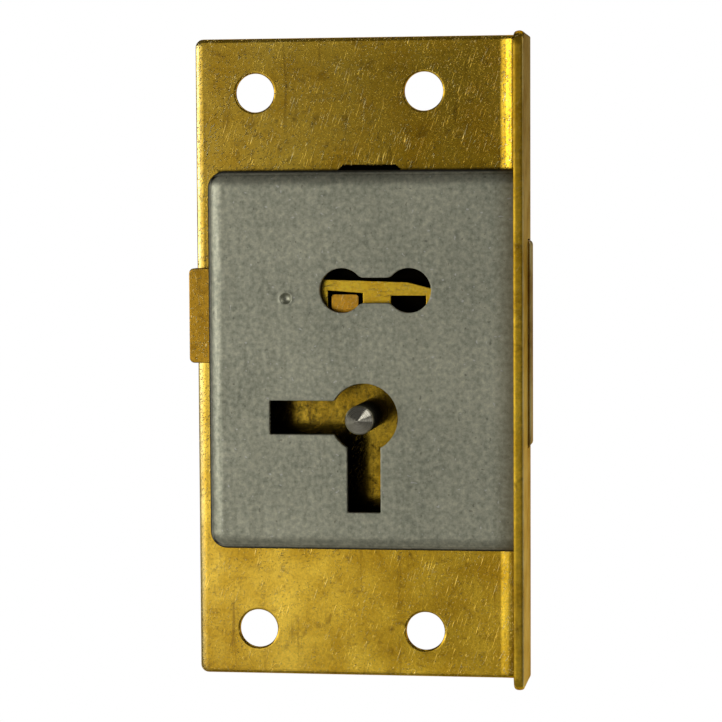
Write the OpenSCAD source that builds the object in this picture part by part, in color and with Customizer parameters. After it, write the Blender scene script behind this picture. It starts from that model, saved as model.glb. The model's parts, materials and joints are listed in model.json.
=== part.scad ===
// Cut cupboard lock with four levers, for a pipe key.
// X runs towards the selvedge and the bolt's throw, Z is up, and -Y is the side the key comes from.
// The origin is on the key pin's axis, at the front face of the back plate. Millimetres.
// At rest the bolt is drawn back and the levers stand lifted, with their gates level with the stump.

/* [Back plate] */
// Height of the back plate
plate_h = 64; // [60:0.5:76]
// Width from the plate's free edge to the outer face of the selvedge
plate_w = 33.6; // [32.5:0.1:38]
// Thickness of the brass sheet that makes the plate and the selvedge
sheet_t = 1; // [0.8:0.05:1.4]
// Distance from the key pin's axis to the outer face of the selvedge
backset = 15.65; // [14.5:0.05:19]
// Distance from the key pin's axis up to the middle of the plate
mid_rise = 5.35; // [3:0.05:8]
// Height of the selvedge's near edge over the cap
selvedge_proud = 0.4; // [0.1:0.05:1.5]
// Inner radius of the bend between plate and selvedge
bend_r = 2; // [0.4:0.1:2.2]
// Outer radius of that bend
bend_out_r = 0.5; // [0.3:0.1:1.6]
// Radius of the plate's free corners, seen from the front
corner_r = 0.8; // [0.3:0.1:3]
// Radius of the selvedge's end corners, seen from the side
selvedge_r = 0.8; // [0.3:0.1:3]
// Rounding of the sheet's long edges
edge_r = 0.3; // [0.1:0.05:0.35]

/* [Screw holes] */
// Radius of a screw hole
hole_r = 1.93; // [1.5:0.01:2.2]
// Distance between the holes across the plate
hole_span_x = 17; // [14:0.1:20]
// Distance between the holes up the plate
hole_span_z = 54; // [50:0.1:58]
// Distance from the selvedge's outer face to the nearer holes
hole_inset = 10.55; // [8:0.05:12]
// Distance of the hole pattern's middle below the middle of the plate
hole_drop = 0.4; // [0:0.05:1]
// Radius of the countersink on the back face
sink_r = 2.5; // [2.3:0.05:3]
// Depth of the countersink
sink_d = 0.5; // [0.2:0.05:0.7]

/* [Cap] */
// Distance from the key pin's axis to the cap's free end
cap_reach = 15.55; // [14.5:0.05:17]
// Distance from the key pin's axis up to the cap's top
cap_top = 24.1; // [21:0.1:27]
// Distance from the key pin's axis down to the cap's foot
cap_foot = 13.1; // [11.5:0.1:16]
// Thickness of the cap's steel sheet
cap_t = 1; // [0.6:0.05:1.2]
// Outer rounding of the cap's drawn edges
cap_r = 1.6; // [1.3:0.1:2.5]
// Width of a lug that holds the cap to the plate
lug_w = 6.4; // [4:0.1:9]
// Place of the lugs along X
lug_x = -0.35; // [-4:0.05:4]
// Width of the open slot left outside a lug
lug_gap = 0.55; // [0.3:0.05:1]
// Thickness of a lug's riveted foot
lug_foot_t = 0.4; // [0.2:0.05:0.6]
// Radius of the punch mark over the lever pivot
dimple_r = 0.5; // [0.3:0.05:0.8]
// Depth of the punch mark
dimple_d = 0.3; // [0.1:0.05:0.5]

/* [Keyhole and window] */
// Radius of the keyhole's round part
key_hole_r = 3.35; // [2.8:0.05:4]
// Width of the keyhole's two slots
key_slot_w = 3.3; // [2.4:0.1:4]
// Reach of the slots from the key pin's axis
key_slot_l = 9.3; // [8.5:0.1:9.5]
// Radius of the lever window's round ends
win_r = 2.17; // [1.8:0.01:2.5]
// Distance between the middles of the window's round ends
win_span = 6.58; // [5:0.01:8]
// Place of the window's left round end along X
win_x = -2.1; // [-4:0.05:0]
// Height of the window over the key pin's axis
win_z = 12.42; // [11:0.01:14]
// Width of the window's neck
neck_w = 2.47; // [1.5:0.01:3]
// Fillet between the neck and the round ends
neck_r = 0.8; // [0.2:0.1:1.2]

/* [Key pin] */
// Radius of the key pin
pin_r = 1.41; // [1.1:0.01:1.8]
// Height of the pin's parallel part over the cap
pin_proud = 3; // [0:0.1:5]
// Length of the pin's turned point
pin_tip_l = 1.3; // [0.6:0.1:2.5]
// Radius of the pin's root in the plate
pin_root_r = 1; // [0.7:0.05:1.05]
// Depth of the riveted ends of the pin and the post
peen_d = 0.4; // [0.2:0.05:0.6]
// Spread of the riveted ends
peen_w = 0.35; // [0.1:0.05:0.6]

/* [Bolt] */
// Thickness of the bolt
bolt_t = 2.6; // [2:0.1:3.4]
// Distance from the key pin's axis up to the bolt's lower edge
bolt_low = 5.05; // [4.5:0.05:5.6]
// Height of the bolt's tail
bolt_h = 9.45; // [9:0.05:11]
// Distance from the key pin's axis down to the head's lower edge
head_low = 3.2; // [1:0.1:5]
// Height of the bolt's head
head_h = 20.4; // [18:0.1:23]
// Travel of the bolt
throw = 6.2; // [5.2:0.1:6.6]
// Length of head that stays inside the selvedge when the bolt is thrown
head_hold = 1; // [0.5:0.1:2]
// Distance that the drawn bolt's head stands out of the selvedge
head_out = 0.3; // [0:0.05:1]
// Distance that the drawn bolt's tail stands out past the plate
tail_out = 0.3; // [0:0.05:1]
// Rounding of the bolt's corners
bolt_r = 0.5; // [0.2:0.05:1]
// Width of the talon that the key's bit drives
talon_w = 3.4; // [2.6:0.1:4]

/* [Levers] */
// Place of the lever pivot along X
pivot_x = -7.61; // [-8.5:0.01:-7]
// Height of the lever pivot over the key pin's axis
pivot_z = 11.65; // [11:0.01:12]
// Radius of the pivot post
post_r = 1.25; // [0.9:0.05:1.5]
// Radius of the post's root in the plate
post_root_r = 0.85; // [0.5:0.05:0.9]
// Thickness of a lever
lever_t = 0.8; // [0.6:0.05:1]
// Gap between a lever and its neighbour
lever_gap = 0.1; // [0.06:0.01:0.2]
// Radius of a lever's eye
eye_r = 2.6; // [2.2:0.1:2.8]
// Height of a lever's top edge over the key pin's axis, at the pivot
lever_top = 13.6; // [13.3:0.05:14]
// Fall of that edge between the pivot and the knee
lever_fall = 0.4; // [0:0.05:0.6]
// Place of the knee, where the top edge starts to slope down, along X
lever_knee = 4.2; // [3:0.1:5]
// Place of a lever's free end along X
lever_end = 7.6; // [7.2:0.1:9]
// Height of the free end's upper corner over the key pin's axis
lever_nose = 12.3; // [12.1:0.05:12.6]
// Height of the free end's lower corner over the key pin's axis
lever_chin = 9.3; // [8:0.1:9.3]
// Height of a lever's lower edge over the key pin's axis
lever_low = 5.2; // [4.8:0.1:5.4]
// Reach of that lower edge to the left of the key pin's axis
belly_left = 4.2; // [3.8:0.1:4.6]
// Reach of that lower edge to the right of the key pin's axis
belly_right = 3.7; // [3.4:0.1:4.2]
// Distance that the key lifts the lever nearest the bolt, in degrees
lift_1 = 3.1; // [2.5:0.1:3.5]
// Distance that the key lifts the second lever, in degrees
lift_2 = 3.5; // [2.5:0.1:3.5]
// Distance that the key lifts the third lever, in degrees
lift_3 = 2.8; // [2.5:0.1:3.5]
// Distance that the key lifts the lever nearest the cap, in degrees
lift_4 = 3.5; // [2.5:0.1:3.5]
// Radius of the key's bit where it meets the dropped levers
belly_r = 5.4; // [5.2:0.05:5.6]
// Thickness of the collar between the levers and the cap
collar_t = 0.25; // [0.15:0.05:0.6]
// Radius of the collar
collar_r = 2.1; // [1.7:0.1:2.6]

/* [Stump] */
// Place of the stump's middle along X
stump_x = -1.92; // [-2.2:0.01:-1.8]
// Height of the stump's top over the key pin's axis
stump_top = 10.95; // [10.85:0.05:11]
// Length of the stump along the throw
stump_l = 2.64; // [2.2:0.01:2.8]
// Height of the stump
stump_h = 1.15; // [1.05:0.05:1.2]
// Rounding of the stump's corners
stump_r = 0.3; // [0.1:0.05:0.5]
// Radius of the stump's root in the bolt
stump_root_r = 0.45; // [0.3:0.05:0.5]
// Height of the stump's head, which covers the levers' pocket in the window
stump_head_h = 1.45; // [1.2:0.05:1.6]
// Height of the head's top over the key pin's axis
stump_head_top = 12; // [11.7:0.05:12]
// Room that a lever's pockets leave at the stump's ends
pocket_gap = 0.4; // [0.25:0.05:0.45]
// Height of the near pocket's roof over the far one's, at its right end
roof_step = 0.25; // [0:0.05:0.4]
// Slope of the near pocket's roof, in degrees
roof_slope = 4.5; // [0:0.5:6]

/* [Lever springs] */
// Thickness of a leaf spring
leaf_t = 0.25; // [0.15:0.05:0.35]
// Width of a leaf spring
leaf_w = 0.6; // [0.3:0.05:0.6]
// Place of a leaf's root along X
leaf_x = -5; // [-5.2:0.05:-4.8]
// Depth of the slit that holds the leaf
slit_d = 1.3; // [0.8:0.1:1.6]
// Straight length of leaf over the lever
leaf_rise = 0.5; // [0.2:0.1:1]

/* [Clearances] */
// Gap between faces that slide on each other
slide_gap = 0.05; // [0.03:0.01:0.1]
// Radial clearance of a lever on its post
run_fit = 0.05; // [0.02:0.01:0.1]
// Gap beside a sliding piece in its slot
side_gap = 0.1; // [0.06:0.01:0.2]
// Gap over and under the stump in a lever's gate
gate_gap = 0.08; // [0.05:0.01:0.12]

/* [Hidden] */
$fn = 64;
eps = 0.01;
BRASS = "#b08d35";
STEEL = "#85857f";
BRIGHT_STEEL = "#b4b3ad";

// Plate and selvedge, seen from the front
selvedge_in = backset - sheet_t;
plate_left = backset - plate_w;
plate_top = mid_rise + plate_h / 2;
plate_foot = mid_rise - plate_h / 2;

// Depths in front of the plate's face
lifts = [lift_1, lift_2, lift_3, lift_4];
lever_pitch = lever_t + lever_gap;
bolt_front = slide_gap + bolt_t;
stack_back = bolt_front + lever_gap;
stack_front = stack_back + len(lifts) * lever_pitch - lever_gap;
collar_back = stack_front + slide_gap;
cap_inside = collar_back + collar_t + slide_gap;
cap_front = cap_inside + cap_t;
selvedge_edge = cap_front + selvedge_proud;
shank_l = cap_front + pin_proud;

// Bolt
tail_x = plate_left - tail_out;
head_x = selvedge_in - head_hold - throw;
head_tip = backset + head_out;
talon_mid = -throw / 2;
talon_top = key_slot_l + side_gap;

// Levers: the pockets hold the stump at both ends of its travel, lifted or dropped
pivot = [pivot_x, pivot_z];
full_lift = max(lifts);
eye_lap = 0.1;
stump_low = stump_top - stump_h;
stump_left = stump_x - stump_l / 2;
stump_right = stump_x + stump_l / 2;
pocket_roof = stump_top + (stump_right + throw - pivot_x) * sin(full_lift) + side_gap;
pocket_floor = stump_low - 2 * side_gap;
gate_top = stump_top + gate_gap;
gate_low = stump_low - gate_gap;

// Springs
leaf_root = lever_top - slit_d;
leaf_start = lever_top + leaf_rise;
roof = cap_top - cap_t - slide_gap;

// Depth of the back face of lever i, counted from the bolt
function lever_back(i) = stack_back + i * lever_pitch;

// Turn of lever i at rest, from the stance of the levers that lift most
function stance(i) = lifts[i] - full_lift;

// Radius of the key's bit under lifted lever i
function bit_r(i) = belly_r - pivot_x * sin(lifts[i]);

// Radius of the leaf on lever i, which ends against the cap's roof
function leaf_r(i) =
    let (plain = roof - leaf_start)
    plain - (leaf_x + plain - pivot_x) * sin(stance(i));

// Point where a line from q touches the circle of radius r about c, clockwise of the line from c to q
function touch(c, r, q) =
    let (d = q - c, a = atan2(d.y, d.x) - acos(r / norm(d)))
    c + r * [cos(a), sin(a)];

// A front-view outline as a slab, from the given depth in front of the plate
module slab(back, t) {
    translate([0, -back, 0]) rotate([90, 0, 0]) linear_extrude(t) children();
}

// An outline in X and Y carried up Z
module along_z(low, h) {
    translate([0, 0, low]) linear_extrude(h) children();
}

// An outline in Y and Z carried along X
module along_x(left, l) {
    translate([left, 0, 0]) rotate([90, 0, 90]) linear_extrude(l) children();
}

// What a rounding of radius r leaves over at corner p; into points from the corner into the metal
module corner_waste(p, into, r) {
    difference() {
        translate(p + into * (r - eps) / 2) square(r + eps, center = true);
        translate(p + into * r) circle(r);
    }
}

// A rectangle whose corners have their own radii, anticlockwise from the lower left
module rounded(low, high, radii) {
    corners = [[low.x, low.y], [high.x, low.y], [high.x, high.y], [low.x, high.y]];
    into = [[1, 1], [-1, 1], [-1, -1], [1, -1]];
    difference() {
        translate(low) square(high - low);
        for (i = [0:3])
            if (radii[i] > 0) corner_waste(corners[i], into[i], radii[i]);
    }
}

// A riveted root through the plate, countersunk flush with its back
module riveted_root(r, extra = 0) {
    rotate([-90, 0, 0]) cylinder(h = sheet_t + extra, r = r);
    translate([0, sheet_t - peen_d, 0])
        rotate([-90, 0, 0])
            cylinder(h = peen_d, r1 = r, r2 = r + peen_w);
}

// Moves its children to the lever pivot
module at_pivot() {
    translate([pivot_x, 0, pivot_z]) children();
}

// Plate and selvedge in one bent sheet, seen from above
module sheet_section() {
    difference() {
        union() {
            rounded([plate_left, 0], [backset, sheet_t], [edge_r, 0, 0, edge_r]);
            rounded([selvedge_in, -selvedge_edge], [backset, sheet_t], [edge_r, edge_r, 0, 0]);
            corner_waste([selvedge_in, 0], [-1, -1], bend_r);
        }
        corner_waste([backset, sheet_t], [-1, -1], bend_out_r);
    }
}

// Outline of a lug and its slot; side is 1 at the cap's top and -1 at its foot
module lug_outline(side) {
    wall = side > 0 ? cap_top : cap_foot;
    half = lug_w / 2;
    translate([lug_x, 0]) scale([1, side])
        polygon([[-half, wall - cap_t], [half, wall - cap_t], [half, wall],
                 [half - lug_gap, wall + lug_gap], [lug_gap - half, wall + lug_gap], [-half, wall]]);
}

module screw_holes() {
    for (x = [0, -hole_span_x], z = [-0.5, 0.5])
        translate([backset - hole_inset + x, 0, mid_rise - hole_drop + z * hole_span_z]) {
            translate([0, -eps, 0]) rotate([-90, 0, 0]) cylinder(h = sheet_t + 2 * eps, r = hole_r);
            translate([0, sheet_t - sink_d, 0])
                rotate([-90, 0, 0])
                    cylinder(h = sink_d + eps, r1 = hole_r, r2 = sink_r);
        }
}

module back_plate() {
    color(BRASS)
    difference() {
        intersection() {
            along_z(plate_foot, plate_h) sheet_section();
            slab(-sheet_t, sheet_t + selvedge_edge)
                rounded([plate_left, plate_foot], [backset, plate_top], [corner_r, 0, 0, corner_r]);
            along_x(plate_left, plate_w)
                rounded([-selvedge_edge, plate_foot], [sheet_t, plate_top],
                        [selvedge_r, 0, 0, selvedge_r]);
        }
        screw_holes();
        riveted_root(pin_root_r, eps);
        at_pivot() riveted_root(post_root_r, eps);
        for (side = [-1, 1])
            slab(-sheet_t - eps, sheet_t + 2 * eps) lug_outline(side);
        // Slot that the bolt's head passes through
        along_x(selvedge_in - bend_r - eps, sheet_t + bend_r + 2 * eps)
            rounded([-bolt_front - side_gap, -head_low - side_gap], [0, head_h - head_low + side_gap],
                    [0, 0, 0, 0]);
    }
}

// The cap's outside, or with inset its inside, rounded towards the front, the top, the foot and the free end
module cap_block(inset, over = 0) {
    r = cap_r - inset;
    left = inset - cap_reach;
    low = inset - cap_foot;
    high = cap_top - inset;
    front = inset - cap_front;
    right = selvedge_in + over;
    intersection() {
        along_z(low, high - low) rounded([left, front], [right, over], [r, 0, 0, 0]);
        slab(-over, over - front) rounded([left, low], [right, high], [r, 0, 0, r]);
        along_x(left, right - left) rounded([front, low], [over, high], [r, 0, 0, r]);
    }
}

// Round part on the key pin's axis, with a slot to the left and a slot down
module keyhole() {
    circle(key_hole_r);
    translate([-key_slot_l, -key_slot_w / 2]) square([key_slot_l, key_slot_w]);
    translate([-key_slot_w / 2, -key_slot_l]) square([key_slot_w, key_slot_l]);
}

// Two round ends joined by a neck, with a fillet at each join
module window() {
    half = neck_w / 2;
    join_z = half + neck_r;
    join_x = sqrt(pow(win_r + neck_r, 2) - pow(join_z, 2));
    translate([win_x, win_z]) {
        translate([0, -half]) square([win_span, neck_w]);
        for (end = [0, 1])
            translate([end * win_span, 0]) mirror([end, 0]) {
                circle(win_r);
                for (side = [0, 1])
                    mirror([0, side])
                        difference() {
                            polygon([[0, 0], [join_x, 0], [join_x, join_z]]);
                            translate([join_x, join_z]) circle(neck_r);
                        }
            }
    }
}

module cap() {
    relief = bend_r + side_gap;
    color(STEEL)
    difference() {
        union() {
            difference() {
                cap_block(0);
                cap_block(cap_t, eps);
                // Room for the bend between plate and selvedge
                along_z(-cap_foot - eps, cap_foot + cap_top + 2 * eps)
                    translate([selvedge_in - relief, -relief]) square(relief + eps);
            }
            for (side = [-1, 1]) {
                slab(-sheet_t, sheet_t + cap_t)
                    intersection() {
                        lug_outline(side);
                        translate([-cap_reach, -cap_foot]) square([2 * cap_reach, cap_foot + cap_top]);
                    }
                slab(-sheet_t, lug_foot_t) lug_outline(side);
            }
        }
        slab(cap_inside - eps, cap_t + 2 * eps) keyhole();
        slab(cap_inside - eps, cap_t + 2 * eps) window();
        at_pivot()
            translate([0, -cap_front, 0])
                rotate([-90, 0, 0])
                    cylinder(h = dimple_d, r1 = dimple_r, r2 = dimple_r / 3);
        // Slot that the bolt's tail passes through
        along_x(-cap_reach - eps, cap_t + 2 * eps)
            rounded([-bolt_front - side_gap, bolt_low - side_gap], [eps, bolt_low + bolt_h + side_gap],
                    [0, 0, 0, 0]);
    }
}

module key_pin() {
    color(BRIGHT_STEEL) {
        riveted_root(pin_root_r);
        rotate([90, 0, 0]) cylinder(h = shank_l, r = pin_r);
        translate([0, -shank_l, 0]) rotate([90, 0, 0]) cylinder(h = pin_tip_l, r1 = pin_r, r2 = 0);
    }
}

module lever_pivot() {
    color(BRIGHT_STEEL)
    at_pivot() {
        riveted_root(post_root_r);
        rotate([90, 0, 0]) cylinder(h = cap_inside, r = post_r);
    }
}

module pivot_collar() {
    color(BRASS)
    slab(collar_back, collar_t)
        translate(pivot)
            difference() {
                circle(collar_r);
                circle(post_r + run_fit);
            }
}

// Notch that the key's bit drives, with both flanks cleared for the bit's swing
module talon() {
    left = talon_mid - talon_w / 2;
    right = talon_mid + talon_w / 2;
    translate([left, 0]) square([talon_w, talon_top]);
    intersection() {
        circle(talon_top);
        translate([-talon_top, 0]) square([talon_top + left + eps, talon_top]);
    }
    intersection() {
        translate([-throw, 0]) circle(talon_top);
        translate([right - eps, 0]) square(talon_top);
    }
}

// Slot that runs on the pivot post
module post_slot() {
    r = post_r + side_gap;
    translate([pivot_x - throw - side_gap, pivot_z - r]) square([throw + 2 * side_gap, 2 * r]);
    for (x = [-throw - side_gap, side_gap])
        translate([pivot_x + x, pivot_z]) circle(r);
}

module bolt() {
    color(BRASS)
    slab(slide_gap, bolt_t)
        difference() {
            union() {
                rounded([tail_x, bolt_low], [head_x + eps, bolt_low + bolt_h], [bolt_r, 0, 0, bolt_r]);
                rounded([head_x, -head_low], [head_tip, head_h - head_low],
                        [bolt_r, bolt_r, bolt_r, bolt_r]);
            }
            post_slot();
            talon();
            translate([stump_x, stump_top - stump_h / 2]) circle(stump_root_r);
        }
}

// The stump ends in a head that runs in front of the levers, as deep as the collar
module bolt_stump() {
    corners = [stump_r, stump_r, stump_r, stump_r];
    color(BRASS) {
        slab(bolt_front, collar_back + eps - bolt_front)
            rounded([stump_left, stump_low], [stump_right, stump_top], corners);
        slab(collar_back, collar_t)
            rounded([stump_left, stump_head_top - stump_head_h], [stump_right, stump_head_top], corners);
        slab(slide_gap, bolt_t) translate([stump_x, stump_top - stump_h / 2]) circle(stump_root_r);
    }
}

// Turns its children to the rest stance of lever i
module in_stance(i) {
    translate(pivot) rotate(stance(i)) translate(-pivot) children();
}

// Eye and arm of a lever, before its openings are cut
module lever_blank() {
    belly = [-belly_left, lever_low];
    translate(pivot) circle(eye_r);
    polygon([touch(pivot, eye_r - eye_lap, belly), belly, [belly_right, lever_low],
             [lever_end, lever_chin], [lever_end, lever_nose],
             [lever_knee, lever_top - lever_fall], [pivot_x, lever_top]]);
}

// The pocket round the stump after it has travelled by x; its roof is higher by step, and slopes
module pocket(x, step = 0, slope = 0) {
    w = stump_l + 2 * pocket_gap;
    h = pocket_roof + step - pocket_floor;
    translate([stump_left - pocket_gap + x, pocket_floor])
        polygon([[0, 0], [w, 0], [w, h], [0, h + w * tan(slope)]]);
}

module lever(i) {
    color(BRASS)
    slab(lever_back(i), lever_t)
        difference() {
            in_stance(i)
                difference() {
                    lever_blank();
                    translate(pivot) circle(post_r + run_fit);
                    pocket(0, roof_step, roof_slope);
                    pocket(throw);
                    translate([leaf_x - leaf_t / 2, leaf_root]) square([leaf_t, slit_d + eps]);
                }
            // Gate between the pockets, level with the stump while the key holds the lever up
            translate([stump_x, gate_low]) square([throw, gate_top - gate_low]);
            // Belly that the key's bit turns under
            circle(bit_r(i));
        }
}

module lever_1() { lever(0); }
module lever_2() { lever(1); }
module lever_3() { lever(2); }
module lever_4() { lever(3); }

// A leaf that stands in the lever's slit and curves over to the cap's roof
module leaf_spring(i) {
    r = leaf_r(i);
    color(BRIGHT_STEEL)
    slab(lever_back(i) + (lever_t - leaf_w) / 2, leaf_w)
        in_stance(i) {
            translate([leaf_x - leaf_t / 2, leaf_root]) square([leaf_t, leaf_start - leaf_root]);
            translate([leaf_x - leaf_t / 2 + r, leaf_start])
                intersection() {
                    difference() {
                        circle(r);
                        circle(r - leaf_t);
                    }
                    translate([-r, -eps]) square([r, r + eps]);
                }
        }
}

module lever_spring_1() { leaf_spring(0); }
module lever_spring_2() { leaf_spring(1); }
module lever_spring_3() { leaf_spring(2); }
module lever_spring_4() { leaf_spring(3); }

back_plate();
cap();
key_pin();
lever_pivot();
pivot_collar();
bolt();
bolt_stump();
lever_1();
lever_2();
lever_3();
lever_4();
lever_spring_1();
lever_spring_2();
lever_spring_3();
lever_spring_4();
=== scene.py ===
"""A cut cupboard lock in brass and drawn steel: finished pieces, finishes, studio and camera.

X runs towards the selvedge, Z is up, and the key comes from -Y. Sizes are in millimetres, and
meshes are scaled to metres when they are made.
"""

import json
import logging
import math
from dataclasses import dataclass, field, replace
from enum import Enum

import bmesh
import bpy
import numpy as np
from mathutils import Matrix, Vector
from mathutils.geometry import delaunay_2d_cdt


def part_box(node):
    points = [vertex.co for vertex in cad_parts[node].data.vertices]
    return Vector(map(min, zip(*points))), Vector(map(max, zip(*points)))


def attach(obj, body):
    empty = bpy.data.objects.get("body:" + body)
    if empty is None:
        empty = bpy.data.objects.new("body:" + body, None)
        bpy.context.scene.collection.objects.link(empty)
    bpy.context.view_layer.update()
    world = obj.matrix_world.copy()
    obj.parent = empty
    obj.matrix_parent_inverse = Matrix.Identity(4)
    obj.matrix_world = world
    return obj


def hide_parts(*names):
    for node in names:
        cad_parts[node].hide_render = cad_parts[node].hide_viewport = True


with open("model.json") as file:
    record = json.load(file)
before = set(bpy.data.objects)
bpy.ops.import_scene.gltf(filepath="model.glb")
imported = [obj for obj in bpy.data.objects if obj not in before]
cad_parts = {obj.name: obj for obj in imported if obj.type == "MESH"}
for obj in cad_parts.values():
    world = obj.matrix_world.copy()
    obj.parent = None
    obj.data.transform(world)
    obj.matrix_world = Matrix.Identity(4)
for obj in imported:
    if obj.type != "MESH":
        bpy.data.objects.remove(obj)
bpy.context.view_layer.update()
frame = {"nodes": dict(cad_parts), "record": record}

Socket = bpy.types.NodeSocket
Corners = tuple[np.ndarray, np.ndarray]

MM = 0.001
# The width of the flat ring beside an eased edge, and a distance past everything in the lock
FLAT = 0.1
FAR = 100.0
log = logging.getLogger("lock")


class Body(Enum):
    """The moving bodies that the finished pieces ride on."""

    CASE = "case"
    BOLT = "bolt_set"


class Lay(Enum):
    """The direction of a metal's working marks, as degrees turned from the upright."""

    UPRIGHT = 0.0
    SLANTED = -32.0
    LEVEL = 90.0


class Level(Enum):
    """The depth at which a stretch of the cap's wall ends."""

    OVER_BOLT = 0
    OVER_BEND = 1
    AT_PLATE = 2


# Small helpers


def linear(tone: str) -> tuple[float, float, float, float]:
    """Turns an sRGB hex colour into linear red, green, blue and alpha.

    Args:
        tone: The colour as "#rrggbb".

    Returns:
        The linear colour with full alpha.
    """
    parts = np.array([int(tone[i:i + 2], 16) for i in (1, 3, 5)]) / 255
    low, high = parts / 12.92, ((parts + 0.055) / 1.055) ** 2.4
    return (*np.where(parts <= 0.04045, low, high).tolist(), 1.0)


def add(tree: bpy.types.NodeTree, kind: str, feeds: dict | None = None,
        **settings: object) -> bpy.types.NodeOutputs:
    """Adds one shader node with its settings and its links.

    Args:
        tree: The node tree that takes the node.
        kind: The node's type name, without its common first part.
        feeds: Each input's name or number, with the value or the output socket that feeds it.
        **settings: The node's own properties.

    Returns:
        The new node's outputs.
    """
    made = tree.nodes.new("ShaderNode" + kind)
    for name, value in settings.items():
        setattr(made, name, value)
    for key, value in (feeds or {}).items():
        if isinstance(value, Socket):
            tree.links.new(value, made.inputs[key])
        else:
            made.inputs[key].default_value = value
    return made.outputs


def box_mm(node: str) -> Corners:
    """Gives a construction node's lowest and highest corners in millimetres."""
    low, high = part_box(node)
    return np.array(low) / MM, np.array(high) / MM


def node_points(node: str) -> np.ndarray:
    """Reads the points of a construction node's mesh.

    Args:
        node: The construction node.

    Returns:
        The points in metres.
    """
    source = frame["nodes"][node].data.vertices
    points = np.empty(len(source) * 3, np.float32)
    source.foreach_get("co", points)
    return points.reshape(-1, 3)


# Outlines and surfaces


def arc(centre: tuple[float, float], radius: float, start: float, end: float, steps: int) -> np.ndarray:
    """Points on a circle: the centre plus the radius along the cosine and sine of an even turn.

    Args:
        centre: The circle's centre.
        radius: Its radius.
        start: The first angle in degrees.
        end: The last angle in degrees, lower than the first for a clockwise arc.
        steps: The number of steps between them.

    Returns:
        The points, both ends included.
    """
    turn = np.radians(np.linspace(start, end, steps + 1))
    return np.column_stack([centre[0] + radius * np.cos(turn), centre[1] + radius * np.sin(turn)])


def rounded_box(low: np.ndarray, high: np.ndarray, radius: float, right_radius: float | None = None,
                steps: int = 6) -> np.ndarray:
    """A rectangle with round corners, anticlockwise from the lower left.

    Args:
        low: The lower left corner.
        high: The upper right corner.
        radius: The corners' radius.
        right_radius: The right corners' radius, if it differs.
        steps: The steps in each corner's arc.

    Returns:
        The closed loop's points.
    """
    r, s = radius, right_radius or radius
    corners = [
        (low[0] + r, low[1] + r, r, 180), (high[0] - s, low[1] + s, s, 270),
        (high[0] - s, high[1] - s, s, 0), (low[0] + r, high[1] - r, r, 90),
    ]
    return np.vstack([arc((x, z), size, turn, turn + 90, steps) for x, z, size, turn in corners])


def outward(loop: np.ndarray) -> np.ndarray:
    """Mitred outward normals of a closed anticlockwise loop.

    Each is the sum of the two neighbouring sides' normals over one plus their dot product, so a
    point moved along it by a distance lies that far from both sides.

    Args:
        loop: The loop's points.

    Returns:
        One normal for each point.
    """
    step = np.roll(loop, -1, axis=0) - loop
    side = np.column_stack([step[:, 1], -step[:, 0]]) / np.linalg.norm(step, axis=1)[:, None]
    before = np.roll(side, 1, axis=0)
    return (side + before) / (1 + np.sum(side * before, axis=1))[:, None]


def within(points: np.ndarray, loop: np.ndarray) -> np.ndarray:
    """Tells which points lie inside a loop: a ray to the right crosses its sides an odd number of times.

    Args:
        points: The points to test.
        loop: The closed loop.

    Returns:
        True for each point inside.
    """
    after = np.roll(loop, -1, axis=0)
    x, z = points[:, :1], points[:, 1:]
    spans = (loop[:, 1] > z) != (after[:, 1] > z)
    rise = np.where(after[:, 1] == loop[:, 1], 1.0, after[:, 1] - loop[:, 1])
    cross = loop[:, 0] + (z - loop[:, 1]) * (after[:, 0] - loop[:, 0]) / rise
    return np.sum(spans & (x < cross), axis=1) % 2 == 1


def placed(plan: np.ndarray, depth: np.ndarray | float) -> np.ndarray:
    """Puts front-view points at a depth: X and Z from the plan, and Y from the depth."""
    y = np.broadcast_to(depth, plan.shape[:-1])
    return np.stack([plan[..., 0], y, plan[..., 1]], axis=-1)


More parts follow.
